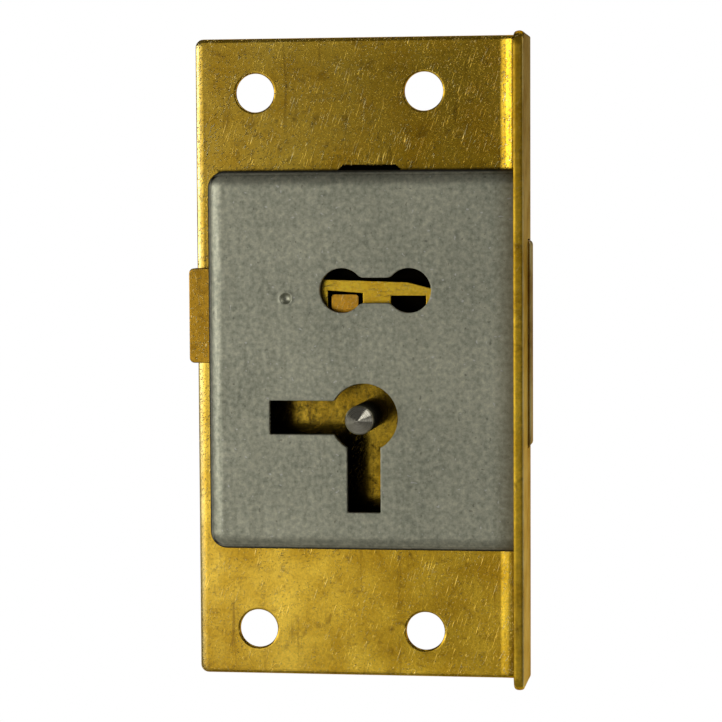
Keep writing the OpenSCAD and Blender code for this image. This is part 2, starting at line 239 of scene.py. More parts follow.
class Skin:
    """The surface of one piece, gathered patch by patch as arrays in millimetres."""

    def __init__(self) -> None:
        """Starts with no points and no faces."""
        self.points: list[np.ndarray] = []
        self.faces: list[list[int]] = []
        self.count = 0

    def _take(self, points: np.ndarray, faces: list[list[int]]) -> None:
        """Adds points and faces.

        Args:
            points: The points, in an array of any shape that ends in X, Y and Z.
            faces: The faces, whose numbers count from the first of these points.
        """
        self.points.append(points.reshape(-1, 3))
        self.faces += [[i + self.count for i in f] for f in faces]
        self.count += self.points[-1].shape[0]

    def patch(self, grid: np.ndarray, closed: bool = False, keep: np.ndarray | None = None) -> None:
        """Adds a grid of points as quads.

        Args:
            grid: The points, by station along the path and by place along the profile.
            closed: Whether the last station joins the first.
            keep: Which cells of the grid are there, or None for all.
        """
        rows, cols = grid.shape[:2]
        cells = rows if closed else rows - 1
        first = np.arange(cells)[:, None] * cols + np.arange(cols - 1)
        after = (np.arange(cells)[:, None] + 1) % rows * cols + np.arange(cols - 1)
        quads = np.stack([first, after, after + 1, first + 1], axis=-1)
        kept = quads.reshape(-1, 4) if keep is None else quads[keep]
        self._take(grid, kept.tolist())

    def web(self, outer: np.ndarray, holes: list[np.ndarray], depth: float,
            lines: np.ndarray | None = None) -> None:
        """Adds the flat sheet between an outer loop and hole loops, in triangles.

        Args:
            outer: The outer loop, in front view.
            holes: The hole loops, in front view.
            depth: The sheet's place along Y.
            lines: Extra lines that the triangles keep to, as pairs of points.
        """
        plan, edges, start = [], [], 0
        for loop in [outer, *holes]:
            index = np.arange(len(loop)) + start
            edges.append(np.column_stack([index, np.roll(index, -1)]))
            plan.append(loop)
            start += len(loop)
        if lines is not None:
            index = np.arange(2 * len(lines)).reshape(-1, 2) + start
            edges.append(index)
            plan.append(lines.reshape(-1, 2))
        corners = [Vector(p) for p in np.vstack(plan).tolist()]
        inside, tolerance = 1, 1e-7
        made = delaunay_2d_cdt(corners, np.vstack(edges).tolist(), [], inside, tolerance)
        flat = np.array([tuple(p) for p in made[0]])
        faces = np.array([list(f) for f in made[2]])
        middles = flat[faces].mean(axis=1)
        solid = ~np.any([within(middles, hole) for hole in holes], axis=0) if holes else slice(None)
        self._take(placed(flat, depth), faces[solid].tolist())

    def rim(self, loop: np.ndarray, sign: int, depths: tuple[float, float],
            front: tuple[np.ndarray | float, np.ndarray | float],
            back: tuple[np.ndarray | float, np.ndarray | float],
            steps: int = 6, flat: float = FLAT) -> tuple[np.ndarray, np.ndarray]:
        """Adds the wall round a loop, with a quarter ellipse that eases each of its two edges.

        A narrow flat ring round each ellipse lets the face beside it keep its own flat shading.

        Args:
            loop: The wall's loop, in front view.
            sign: -1 where the metal lies inside the loop, and 1 where it lies outside.
            depths: The wall's front and back, along Y.
            front: Width and depth of the eased front edge; both may differ from point to point.
            back: The same for the back edge.
            steps: The steps in each ellipse.
            flat: The ring's width.

        Returns:
            The loops where the wall meets the front face and the back face.
        """
        turn = np.linspace(0, np.pi / 2, steps + 1)
        sizes = (np.broadcast_to(size, (len(loop),))[:, None] for size in (*front, *back))
        near, near_deep, far, far_deep = sizes
        inset = np.hstack([near + flat, near * (1 - np.sin(turn)), far * (1 - np.cos(turn)), far + flat])
        deep = np.hstack([0 * near + depths[0], depths[0] + near_deep * (1 - np.cos(turn)),
                          depths[1] - far_deep * (1 - np.sin(turn)), 0 * far + depths[1]])
        plan = loop[:, None] + sign * outward(loop)[:, None] * inset[..., None]
        self.patch(placed(plan, deep), closed=True)
        return plan[:, 0], plan[:, -1]

    def slab(self, loop: np.ndarray, depths: tuple[float, float], ease: float) -> None:
        """Adds a plate of one outline, with both its faces and its eased edges.

        Args:
            loop: The outline, in front view.
            depths: The plate's front and back, along Y.
            ease: The size of its eased edges.
        """
        front, back = self.rim(loop, -1, depths, (ease, ease), (ease, ease), 3, 0.0)
        self.web(front, [], depths[0])
        self.web(back, [], depths[1])

    def turned(self, profile: np.ndarray, axis: tuple[float, float], turns: int = 96) -> None:
        """Adds a profile spun about an axis along Y: radius times the cosine and sine of a full turn.

        Args:
            profile: Radius and depth of each point of the profile.
            axis: The axis's place in front view.
            turns: The stations round the axis.
        """
        turn = np.linspace(0, 2 * np.pi, turns, endpoint=False)[:, None]
        around = np.stack([np.cos(turn), np.sin(turn)], axis=-1)
        self.patch(placed(np.array(axis) + profile[:, :1] * around, profile[:, 1]), closed=True)

    def piece(self, name: str, material: bpy.types.Material, crease: float = 40.0,
              bent: "BentSheet | None" = None) -> bpy.types.Object:
        """Welds the patches into one closed mesh and makes the object.

        Args:
            name: The piece's name.
            material: Its finish.
            crease: The angle in degrees past which an edge is shaded sharp.
            bent: The bent sheet that the flat blank follows, if any.

        Returns:
            The new object, at the origin.
        """
        points = np.vstack(self.points)
        if bent is not None:
            points = bent.follow(points)
        mesh = bpy.data.meshes.new(name)
        mesh.from_pydata((points * MM).tolist(), [], self.faces)
        return welded(mesh, material, crease)


def welded(mesh: bpy.types.Mesh, material: bpy.types.Material, crease: float) -> bpy.types.Object:
    """Merges a mesh's doubles, turns its faces outwards and links it as an object.

    Args:
        mesh: The mesh, named as the piece.
        material: The piece's finish.
        crease: The angle in degrees past which an edge is shaded sharp.

    Returns:
        The new object.
    """
    weld = 0.0005 * MM
    work = bmesh.new()
    work.from_mesh(mesh)
    bmesh.ops.remove_doubles(work, verts=work.verts, dist=weld)
    bmesh.ops.dissolve_degenerate(work, edges=work.edges, dist=weld)
    bmesh.ops.recalc_face_normals(work, faces=work.faces)
    open_edges = sum(not e.is_manifold for e in work.edges)
    work.to_mesh(mesh)
    work.free()
    mesh.set_sharp_from_angle(angle=math.radians(crease))
    mesh.materials.append(material)
    made = bpy.data.objects.new(mesh.name, mesh)
    bpy.context.scene.collection.objects.link(made)
    log.info("%s: %d open edges", made.name, open_edges)
    return made


def eased_copy(node: str, name: str, material: bpy.types.Material, width: float) -> bpy.types.Object:
    """Copies a construction node's mesh, merged, and eases its sharp edges.

    Args:
        node: The construction node.
        name: The new piece's name.
        material: Its finish.
        width: The width of the eased edges.

    Returns:
        The new object, which replaces the node.
    """
    weld, flat, sharp = 0.001 * MM, math.radians(0.2), 30.0
    faces = [list(p.vertices) for p in frame["nodes"][node].data.polygons]
    mesh = bpy.data.meshes.new(name)
    mesh.from_pydata(node_points(node).tolist(), [], faces)
    work = bmesh.new()
    work.from_mesh(mesh)
    bmesh.ops.remove_doubles(work, verts=work.verts, dist=weld)
    bmesh.ops.dissolve_limit(work, angle_limit=flat, verts=work.verts, edges=work.edges)
    work.to_mesh(mesh)
    work.free()
    made = welded(mesh, material, sharp)
    edge = made.modifiers.new("eased_edges", "BEVEL")
    edge.width = width * MM
    edge.segments = 3
    edge.limit_method = "ANGLE"
    edge.angle_limit = math.radians(sharp)
    edge.harden_normals = True
    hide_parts(node)
    return made


# Finishes


@dataclass(frozen=True)
class Ramp:
    """A straight change of a value, from first to last, while what it follows goes from start to end."""

    start: float = 0.0
    end: float = 1.0
    first: float = 0.0
    last: float = 1.0

    def feeds(self, source: Socket, share: float = 1.0) -> dict[int, object]:
        """Gives a map-range node's inputs, with the last value times a share."""
        return dict(enumerate((source, self.start, self.end, self.first, self.last * share)))


def limits(left: float = -FAR, right: float = FAR, near: float = -FAR) -> Corners:
    """Gives the corners of a box that ends near the lock only on the sides that are told."""
    return np.array([left, near, -FAR]), np.array([right, FAR, FAR])


@dataclass(frozen=True)
class Brass:
    """Yellow brass, worked cold and handled.

    The eye sees a warm metal with a soft gloss, cloudy tarnish, brown stains, runs and pits, and short
    scratches and specks in drifts, whose sides catch the light; they are tinted paler, partly fresh
    metal and partly a painted glint. They may be fewer below a height. Patches of painted sheen and
    highlight pale some edges and faces. A painted shade darkens a box, more so near its sides and
    blotchy with dirt, and what lies outside the rolled box was filed and is duller.
    """

    name: str
    dark: Corners
    bright: str = "#e4bc38"
    dull: str = "#c49922"
    stain: str = "#6b4a12"
    # The glint colour pales the marks, partly fresh metal and partly a painted glint, and the painted sheen
    glint: str = "#fff0b0"
    painted_shade: str = "#0c0903"
    roughness: float = 0.22
    filed_roughness: float = 0.25
    cloud_mm: float = 6.0
    grain_mm: float = 0.3
    scratch_mm: float = 0.11
    scratch_length_mm: float = 0.9
    speck_mm: float = 0.17
    drift_mm: float = 2.2
    dirt_mm: float = 0.8
    mark_mm: float = 0.032
    grain_share: float = 0.06
    scratched: float = 1.0
    stained: float = 1.0
    lay: Lay = Lay.SLANTED
    rolled: Corners = limits()
    painted_sheen: tuple[Ramp, ...] = ()
    worn: Ramp = Ramp(0.0, 1.0, 1.0)
    thick: Ramp = Ramp(-2.0, -0.4, 1.0)
    dirty: Ramp = Ramp(0.35, 0.65, 2.2, 0.4)
    inside: Ramp = Ramp(-0.1, 0.1, 1.0, 0.0)
    key_side: Ramp = Ramp(0.4, 0.6, 1.0, 0.0)
    filed: Ramp = Ramp(-0.05, 0.05)
    under_shade: Ramp = Ramp(0.0, 1.0, 1.0, 0.3)
    under_file: Ramp = Ramp(0.0, 1.0, 1.0, 0.15)
    tarnish: Ramp = Ramp(0.36, 0.64)
    mottle: Ramp = Ramp(0.3, 0.7, 0.85, 1.12)
    patches: Ramp = Ramp(0.38, 0.62, 0.35)
    drift: Ramp = Ramp(0.38, 0.58, 0.3)
    peak: Ramp = Ramp(0.66, 0.74)
    speck: Ramp = Ramp(0.64, 0.72)

    def material(self) -> bpy.types.Material:
        """Makes the material.

        Returns:
            The brass material.
        """
        made, tree, mm = metal(self.name)
        cloud = add(tree, "TexNoise", {
            "Vector": mm, "Scale": 1 / self.cloud_mm, "Detail": 5.0, "Roughness": 0.62})[0]
        grain = add(tree, "TexNoise", {"Vector": mm, "Scale": 1 / self.grain_mm, "Detail": 2.0})[0]
        tarnish = add(tree, "MapRange", self.tarnish.feeds(cloud))[0]
        dull, bright = linear(self.dull), linear(self.bright)
        tone = add(tree, "Mix", {0: tarnish, 6: dull, 7: bright}, data_type="RGBA")[2]
        mottle = add(tree, "MapRange", self.mottle.feeds(grain))[0]
        tone = add(tree, "VectorMath", {0: tone, 1: mottle}, operation="MULTIPLY")[0]
        # A painted shade darkens the dark box, blotchy with dirt
        shade_film, kept = self.shade_film(tree, mm)
        filed = add(tree, "MapRange", self.filed.feeds(past_box(tree, mm, self.rolled)))[0]
        marks = self.scratches(tree, mm)
        for ramp, source in ((self.under_shade, kept), (self.under_file, filed)):
            left = add(tree, "MapRange", ramp.feeds(source))[0]
            marks = add(tree, "Math", {0: marks, 1: left}, operation="MULTIPLY")[0]
        # The marks are tinted towards the glint colour, partly fresh metal and partly a painted glint
        pale = marks
        # Patches of painted sheen and highlight pale some edges and faces
        patches = add(tree, "MapRange", self.patches.feeds(cloud))[0]
        along = add(tree, "SeparateXYZ", {0: mm})[0]
        for ramp in self.painted_sheen:
            edge = add(tree, "MapRange", ramp.feeds(along))[0]
            patch = add(tree, "Math", {0: edge, 1: patches}, operation="MULTIPLY")[0]
            pale = add(tree, "Math", {0: pale, 1: patch}, operation="MAXIMUM")[0]
        tone = coats(tree, tone, [*self.stains(tree, mm), (pale, self.glint), (shade_film, self.painted_shade)])
        # Tarnish is rougher than bright brass
        gloss = Ramp(0.3, 0.7, self.roughness + 0.05, self.roughness - 0.04)
        gloss = add(tree, "MapRange", gloss.feeds(cloud))[0]
        rough = add(tree, "Math", {0: filed, 1: self.filed_roughness, 2: gloss}, operation="MULTIPLY_ADD")[0]
        height = add(tree, "Math", {0: grain, 1: self.grain_share, 2: marks}, operation="MULTIPLY_ADD")[0]
        bump = add(tree, "Bump", {"Height": height, "Strength": 1.0, "Distance": self.mark_mm * MM})[0]
        shade(tree, {"Base Color": tone, "Specular Tint": dull, "Roughness": rough, "Normal": bump})
        return made

    def stains(self, tree: bpy.types.NodeTree, mm: Socket) -> list[tuple[Socket, str]]:
        """Adds brown stains, as noise of which only the peaks are kept.

        Args:
            tree: The node tree.
            mm: The coordinates in millimetres.

        Returns:
            Each stain's share with its colour: soft blots, runs down the sheet and small dark pits.
        """
        made = []
        for width, height, ramp in (
            (1.1, 1.1, Ramp(0.56, 0.8, 0.0, 0.55)),
            (0.7, 9.0, Ramp(0.6, 0.76, 0.0, 0.5)),
            (0.4, 0.4, Ramp(0.7, 0.78, 0.0, 0.75)),
        ):
            size = (1 / width, 1 / width, 1 / height)
            spread = add(tree, "VectorMath", {0: mm, 1: size}, operation="MULTIPLY")[0]
            blot = add(tree, "TexNoise", {
                "Vector": spread, "Scale": 1.0, "Detail": 3.0, "Distortion": 0.5})[0]
            made.append((add(tree, "MapRange", ramp.feeds(blot, self.stained))[0], self.stain))
        return made

    def shade_film(self, tree: bpy.types.NodeTree, mm: Socket) -> tuple[Socket, Socket]:
        """Adds a painted shade: a share by the depth in the dark box, to a power that changes with the dirt.

        Args:
            tree: The node tree.
            mm: The coordinates in millimetres.

        Returns:
            The painted shade's share, and where it may lie: 1 in the box and on the key's side, and 0
            elsewhere.
        """
        past = past_box(tree, mm, self.dark)
        thick = add(tree, "MapRange", self.thick.feeds(past))[0]
        dirt = add(tree, "TexNoise", {
            "Vector": mm, "Scale": 1 / self.dirt_mm, "Detail": 4.0, "Roughness": 0.7})[0]
        power = add(tree, "MapRange", self.dirty.feeds(dirt))[0]
        shade_film = add(tree, "Math", {0: thick, 1: power}, operation="POWER")[0]
        # The painted shade is on the key's side only, so it ends half way through the sheet
        deep = add(tree, "SeparateXYZ", {0: mm})[1]
        inner = add(tree, "MapRange", self.inside.feeds(past))[0]
        front = add(tree, "MapRange", self.key_side.feeds(deep))[0]
        kept = add(tree, "Math", {0: inner, 1: front}, operation="MULTIPLY")[0]
        return add(tree, "Math", {0: shade_film, 1: kept}, operation="MULTIPLY")[0], kept

    def scratches(self, tree: bpy.types.NodeTree, mm: Socket) -> Socket:
        """Adds scratches and specks: noise drawn out along a few lays or left round, and only its peaks kept.

        Args:
            tree: The node tree.
            mm: The coordinates in millimetres.

        Returns:
            The marks' height, from 0 to 1.
        """
        dots = add(tree, "TexNoise", {"Vector": mm, "Scale": 1 / self.speck_mm, "Detail": 1.0})[0]
        marks = add(tree, "MapRange", self.speck.feeds(dots, self.scratched))[0]
        for turn, share, reach in ((0.0, 1.0, 1.0), (14.0, 0.9, 2.6), (-28.0, 0.8, 0.7)):
            lay = (0.0, math.radians(self.lay.value + turn), 0.0)
            along = add(tree, "Mapping", {"Vector": mm, "Rotation": lay})[0]
            size = (1 / self.scratch_mm, 1 / self.scratch_mm, 1 / (self.scratch_length_mm * reach))
            drawn = add(tree, "VectorMath", {0: along, 1: size}, operation="MULTIPLY")[0]
            lines = add(tree, "TexNoise", {"Vector": drawn, "Scale": 1.0, "Detail": 1.0})[0]
            mark = add(tree, "MapRange", self.peak.feeds(lines, share * self.scratched))[0]
            marks = add(tree, "Math", {0: marks, 1: mark}, operation="MAXIMUM")[0]
        height = add(tree, "SeparateXYZ", {0: mm})[2]
        drifts = add(tree, "TexNoise", {"Vector": mm, "Scale": 1 / self.drift_mm, "Detail": 2.0})[0]
        for ramp, source in ((self.worn, height), (self.drift, drifts)):
            left = add(tree, "MapRange", ramp.feeds(source))[0]
            marks = add(tree, "Math", {0: marks, 1: left}, operation="MULTIPLY")[0]
        return marks


@dataclass(frozen=True)
class DrawnSteel:
    """Mild steel sheet, drawn in a press and left dull.

    The eye sees a flat olive grey with a fine mottle, a few pale nicks and dark pits, and faint marks
    where the sheet slid over the tool. The walls are darker and dull, and not metal. A painted brownish
    shade darkens the front towards the selvedge, and a painted shade darkens the hollow and the lugs' roots.
    """

    name: str = "drawn_steel"
    light: str = "#dad8be"
    dark: str = "#989a87"
    nick: str = "#dddcd2"
    pit: str = "#54534a"
    wall_tone: str = "#1d1e1b"
    selvedge_shade: str = "#6e5c2c"
    painted_shade: str = "#0c0b08"
    roughness: float = 0.5
    wall_roughness: float = 0.3
    sheen: float = 0.5
    mottle_mm: float = 0.5
    cloud_mm: float = 9.0
    cloud_share: float = 0.35
    nick_mm: float = 0.34
    draw_mm: float = 0.3
    draw_length_mm: float = 5.0
    relief_mm: float = 0.02
    mottled: Ramp = Ramp(0.45, 0.9)
    nicked: Ramp = Ramp(0.8, 0.84, 0.0, 0.8)
    pitted: Ramp = Ramp(0.19, 0.15, 0.0, 0.4)
    walls: Ramp = Ramp(-7.2, -6.6, 0.0, 0.95)
    # A painted brownish shade darkens the front towards the selvedge
    towards_selvedge: Ramp = Ramp(12.6, 14.6, 0.0, 0.6)
    # A painted shade darkens the lugs' roots near the plate
    lug_slot_shade: Ramp = Ramp(-0.7, -0.55)
    inside: Ramp = Ramp(-0.1, 0.1, 1.0, 0.0)

    def material(self, hollow: Corners) -> bpy.types.Material:
        """Makes the material.

        Args:
            hollow: The lowest and highest corners of the hollow, which is painted in shade.

        Returns:
            The drawn steel material.
        """
        made, tree, mm = metal(self.name)
        across, deep, _ = add(tree, "SeparateXYZ", {0: mm})
        cloud = add(tree, "TexNoise", {"Vector": mm, "Scale": 1 / self.cloud_mm, "Detail": 4.0})[0]
        mottle = add(tree, "TexNoise", {
            "Vector": mm, "Scale": 1 / self.mottle_mm, "Detail": 4.0, "Roughness": 0.7})[0]
        blend = add(tree, "Math", {0: cloud, 1: self.cloud_share, 2: mottle}, operation="MULTIPLY_ADD")[0]
        spots = add(tree, "TexNoise", {"Vector": mm, "Scale": 1 / self.nick_mm, "Detail": 0.0})[0]
        follows = (
            (self.mottled, blend), (self.nicked, spots), (self.pitted, spots),
            (self.towards_selvedge, across), (self.lug_slot_shade, deep), (self.inside, past_box(tree, mm, hollow)),
        )
        shares = [add(tree, "MapRange", ramp.feeds(source))[0] for ramp, source in follows]
        pale, nick, pit, near_selvedge, root, inner = shares
        # The walls, from a little behind the front, are darker, dull and not metal
        wall = add(tree, "MapRange", self.walls.feeds(deep), interpolation_type="SMOOTHSTEP")[0]
        # A painted shade darkens the hollow and the lugs' roots
        shaded = add(tree, "Math", {0: inner, 1: root}, operation="MAXIMUM")[0]
        tone = coats(tree, linear(self.dark), [
            (pale, self.light), (nick, self.nick), (pit, self.pit),
            (wall, self.wall_tone), (near_selvedge, self.selvedge_shade), (shaded, self.painted_shade),
        ])
        size = (1 / self.draw_mm, 1 / self.draw_mm, 1 / self.draw_length_mm)
        drawn = add(tree, "VectorMath", {0: mm, 1: size}, operation="MULTIPLY")[0]
        streak = add(tree, "TexNoise", {"Vector": drawn, "Scale": 1.0, "Detail": 2.0})[0]
        # The sheet is a little smoother and rougher in turn where it slid over the tool
        gloss = Ramp(0.3, 0.7, self.roughness - 0.05, self.roughness + 0.07)
        gloss = add(tree, "MapRange", gloss.feeds(streak))[0]
        rough = add(tree, "Math", {0: wall, 1: self.wall_roughness, 2: gloss}, operation="MULTIPLY_ADD")[0]
        bare = add(tree, "Math", {0: 1.0, 1: wall}, operation="SUBTRACT")[0]
        sheen = add(tree, "Math", {0: bare, 1: self.sheen}, operation="MULTIPLY")[0]
        height = add(tree, "Math", {0: mottle, 1: nick}, operation="SUBTRACT")[0]
        bump = add(tree, "Bump", {"Height": height, "Strength": 0.7, "Distance": self.relief_mm * MM})[0]
        shade(tree, {
            "Base Color": tone, "Roughness": rough, "Normal": bump,
            "Metallic": bare, "Specular IOR Level": sheen,
        })
        return made


@dataclass(frozen=True)
class TurnedSteel:
    """Bright steel, turned in a lathe.

    The eye sees a clean grey metal with fine rings round its axis, which draw a highlight out into
    a wedge. The rings are drawn coarser than a real tool leaves them, so that they show.
    """

    name: str = "turned_steel"
    light: str = "#d2cdbc"
    dark: str = "#9a9585"
    roughness: float = 0.26
    ring_mm: float = 0.14
    relief_mm: float = 0.01
    centre: tuple[float, float, float] = (0.0, 0.0, 0.0)

    def material(self) -> bpy.types.Material:
        """Makes the material.

        Returns:
            The turned steel material.
        """
        made, tree, mm = metal(self.name)
        own = add(tree, "VectorMath", {0: mm, 1: self.centre}, operation="SUBTRACT")[0]
        x, deep, z = add(tree, "SeparateXYZ", {0: own})
        across = add(tree, "CombineXYZ", {0: x, 1: z})[0]
        reach = add(tree, "VectorMath", {0: across}, operation="LENGTH")["Value"]
        run = add(tree, "Math", {0: reach, 1: deep}, operation="ADD")[0]
        rings = add(tree, "TexNoise", {
            "W": run, "Scale": 1 / self.ring_mm, "Detail": 2.0}, noise_dimensions="1D")[0]
        share = add(tree, "MapRange", Ramp(0.3, 0.7).feeds(rings))[0]
        tone = add(tree, "Mix", {0: share, 6: linear(self.dark), 7: linear(self.light)}, data_type="RGBA")[2]
        gloss = Ramp(0.3, 0.7, self.roughness + 0.06, self.roughness - 0.04)
        gloss = add(tree, "MapRange", gloss.feeds(rings))[0]
        bump = add(tree, "Bump", {"Height": rings, "Strength": 0.5, "Distance": self.relief_mm * MM})[0]
        shade(tree, {"Base Color": tone, "Roughness": gloss, "Normal": bump})
        return made


@dataclass(frozen=True)
class SpringStrip:
    """Blue-grey spring steel strip, rolled thin.

    The eye sees a dark, fairly glossy metal with a fine grain.
    """

    name: str = "spring_steel_strip"
    light: str = "#8f9093"
    dark: str = "#66686c"
    roughness: float = 0.3
    grain_mm: float = 0.12
    relief_mm: float = 0.01

    def material(self) -> bpy.types.Material:
        """Makes the material.

        Returns:
            The spring steel material.
        """
        made, tree, mm = metal(self.name)
        grain = add(tree, "TexNoise", {"Vector": mm, "Scale": 1 / self.grain_mm, "Detail": 3.0})[0]
        tone = add(tree, "Mix", {0: grain, 6: linear(self.dark), 7: linear(self.light)}, data_type="RGBA")[2]
        gloss = Ramp(0.0, 1.0, self.roughness - 0.05, self.roughness + 0.1)
        gloss = add(tree, "MapRange", gloss.feeds(grain))[0]
        bump = add(tree, "Bump", {"Height": grain, "Strength": 0.3, "Distance": self.relief_mm * MM})[0]
        shade(tree, {"Base Color": tone, "Roughness": gloss, "Normal": bump})
        return made


def past_box(tree: bpy.types.NodeTree, mm: Socket, box: Corners) -> Socket:
    """Adds nodes for how far a place is past a box.

    It is the most by which the place's distance from the box's middle, along one axis, exceeds half
    the box's size.

    Args:
        tree: The node tree.
        mm: The coordinates in millimetres.
        box: The box's lowest and highest corners.

    Returns:
        The distance in millimetres, which is negative inside the box.
    """
    low, high = box
    middle = add(tree, "VectorMath", {0: mm, 1: tuple((low + high) / 2)}, operation="SUBTRACT")[0]
    size = add(tree, "VectorMath", {0: middle}, operation="ABSOLUTE")[0]
    past = add(tree, "VectorMath", {0: size, 1: tuple((high - low) / 2)}, operation="SUBTRACT")[0]
    x, y, z = add(tree, "SeparateXYZ", {0: past})
    most = add(tree, "Math", {0: x, 1: y}, operation="MAXIMUM")[0]
    return add(tree, "Math", {0: most, 1: z}, operation="MAXIMUM")[0]


def coats(tree: bpy.types.NodeTree, tone: Socket | tuple[float, ...],
          layers: list[tuple[Socket, str]]) -> Socket:
    """Lays coats over a tone, one after another: each mixes its colour in by its share.

    Args:
        tree: The node tree.
        tone: The colour underneath.
        layers: Each coat's share and sRGB hex colour, from the lowest up.

    Returns:
        The colour that is seen.
    """
    for share, colour in layers:
        tone = add(tree, "Mix", {0: share, 6: tone, 7: linear(colour)}, data_type="RGBA")[2]
    return tone


def metal(name: str) -> tuple[bpy.types.Material, bpy.types.NodeTree, Socket]:
    """Starts a metal: an empty material with object coordinates in millimetres.

    Args:
        name: The material's name.

    Returns:
        The material, its node tree and the coordinate socket.
    """
    made = bpy.data.materials.new(name)
    made.use_nodes = True
    tree = made.node_tree
    tree.nodes.clear()
    place = add(tree, "TexCoord")["Object"]
    return made, tree, add(tree, "VectorMath", {0: place, 1: (1 / MM,) * 3}, operation="MULTIPLY")[0]


def shade(tree: bpy.types.NodeTree, feeds: dict[str, object]) -> None:
    """Ends a metal with its shader, which is all metal unless the feeds say otherwise.

    Args:
        tree: The node tree.
        feeds: The shader's inputs.
    """
    shader = add(tree, "BsdfPrincipled", {"Metallic": 1.0, **feeds})[0]
    add(tree, "OutputMaterial", {"Surface": shader})


# Sub-assemblies


@dataclass
class BentSheet:
    """How the plate's flat blank goes round the bend into the selvedge.

    A blank's point keeps its height. Its place along the blank picks one point on the front curve
    and one on the back curve, each a flat, a quarter circle and a flat, and its depth as a share of
    the sheet's thickness picks the place between the two.
    """

    inside: float
    outside: float
    thickness: float
    inner_r: float = 2.0
    outer_r: float = 0.5
    steps: int = 20

    def __post_init__(self) -> None:
        """Works out where the bend starts and ends along the blank."""
        self.start = self.inside - self.inner_r
        self.end = self.start + self.inner_r * np.pi / 2

    def stations(self) -> np.ndarray:
        """Gives the places along the blank that carry the bend."""
        return np.linspace(self.start, self.end, self.steps + 1)

    def length(self, edge: float) -> float:
        """Gives the blank's place that ends up at a depth on the selvedge."""
        return self.end + abs(edge) - self.inner_r

    def follow(self, points: np.ndarray) -> np.ndarray:
        """Moves a blank's points to their places on the bent sheet.

        Args:
            points: X along the blank, Y into its thickness and Z up.

        Returns:
            The bent points.
        """
        along, deep, up = points.T
        front = np.vstack([
            [self.start - FAR, 0.0],
            arc((self.start, -self.inner_r), self.inner_r, 90, 0, self.steps),
            [self.inside, -self.inner_r - FAR],
        ])
        outer = (self.outside - self.outer_r, self.thickness - self.outer_r)
        back = np.vstack([
            [self.start, self.thickness],
            arc(outer, self.outer_r, 90, 0, 2 * self.steps),
            [self.outside, -self.inner_r],
        ])
        walked = np.concatenate([[0], np.cumsum(np.linalg.norm(np.diff(back, axis=0), axis=1))])
        # The outer corner is much sharper than the inner one, so it takes the middle stations
        share = np.interp(np.linspace(0, 1, self.steps + 1), [0, 0.3, 0.7, 1], walked[[0, 1, -2, -1]])
        bend = np.column_stack([np.interp(share, walked, back[:, 0]), np.interp(share, walked, back[:, 1])])
        back = np.vstack([[self.start - FAR, self.thickness], bend, [self.outside, -self.inner_r - FAR]])
        stations = np.concatenate([[self.start - FAR], self.stations(), [self.end + FAR]])
        near = np.column_stack([np.interp(along, stations, front[:, i]) for i in (0, 1)])
        far = np.column_stack([np.interp(along, stations, back[:, i]) for i in (0, 1)])
        plan = near + (far - near) * (deep / self.thickness)[:, None]
        return np.column_stack([plan[:, 0], plan[:, 1], up])


@dataclass(frozen=True)
class Lug:
    """One of the cap's two lugs: a tongue through the plate, whose foot is spread to fill its slot."""

    width: float = 6.4
    x: float = -0.35
    gap: float = 0.55
    t: float = 1.0
    foot_t: float = 0.4
    snug: float = 0.01
    stem_r: float = 0.1
    stem_ease: float = 0.02
    foot_ease: float = 0.03

    def wall(self, side: int) -> float:
        """Gives how far the cap's outer wall is from the key pin's height, at its top (1) or foot (-1)."""
        low, high = box_mm("cap")
        return float(high[2] if side > 0 else -low[2]) - self.gap

    def outline(self, side: int, grow: float = 0.0) -> np.ndarray:
        """The foot's and the slot's outline: a rectangle with a sloping mouth outside the cap, anticlockwise.

        Args:
            side: 1 at the cap's top and -1 at its foot.
            grow: How much wider than the slot it is.

        Returns:
            The loop's points.
        """
        wall, half, gap = self.wall(side), self.width / 2 + grow, self.gap + grow
        loop = np.array([
            [-half, wall - self.t - grow], [half, wall - self.t - grow], [half, wall],
            [half - self.gap, wall + gap], [self.gap - half, wall + gap], [-half, wall],
        ])
        return (loop * [1, side])[::side] + [self.x, 0]


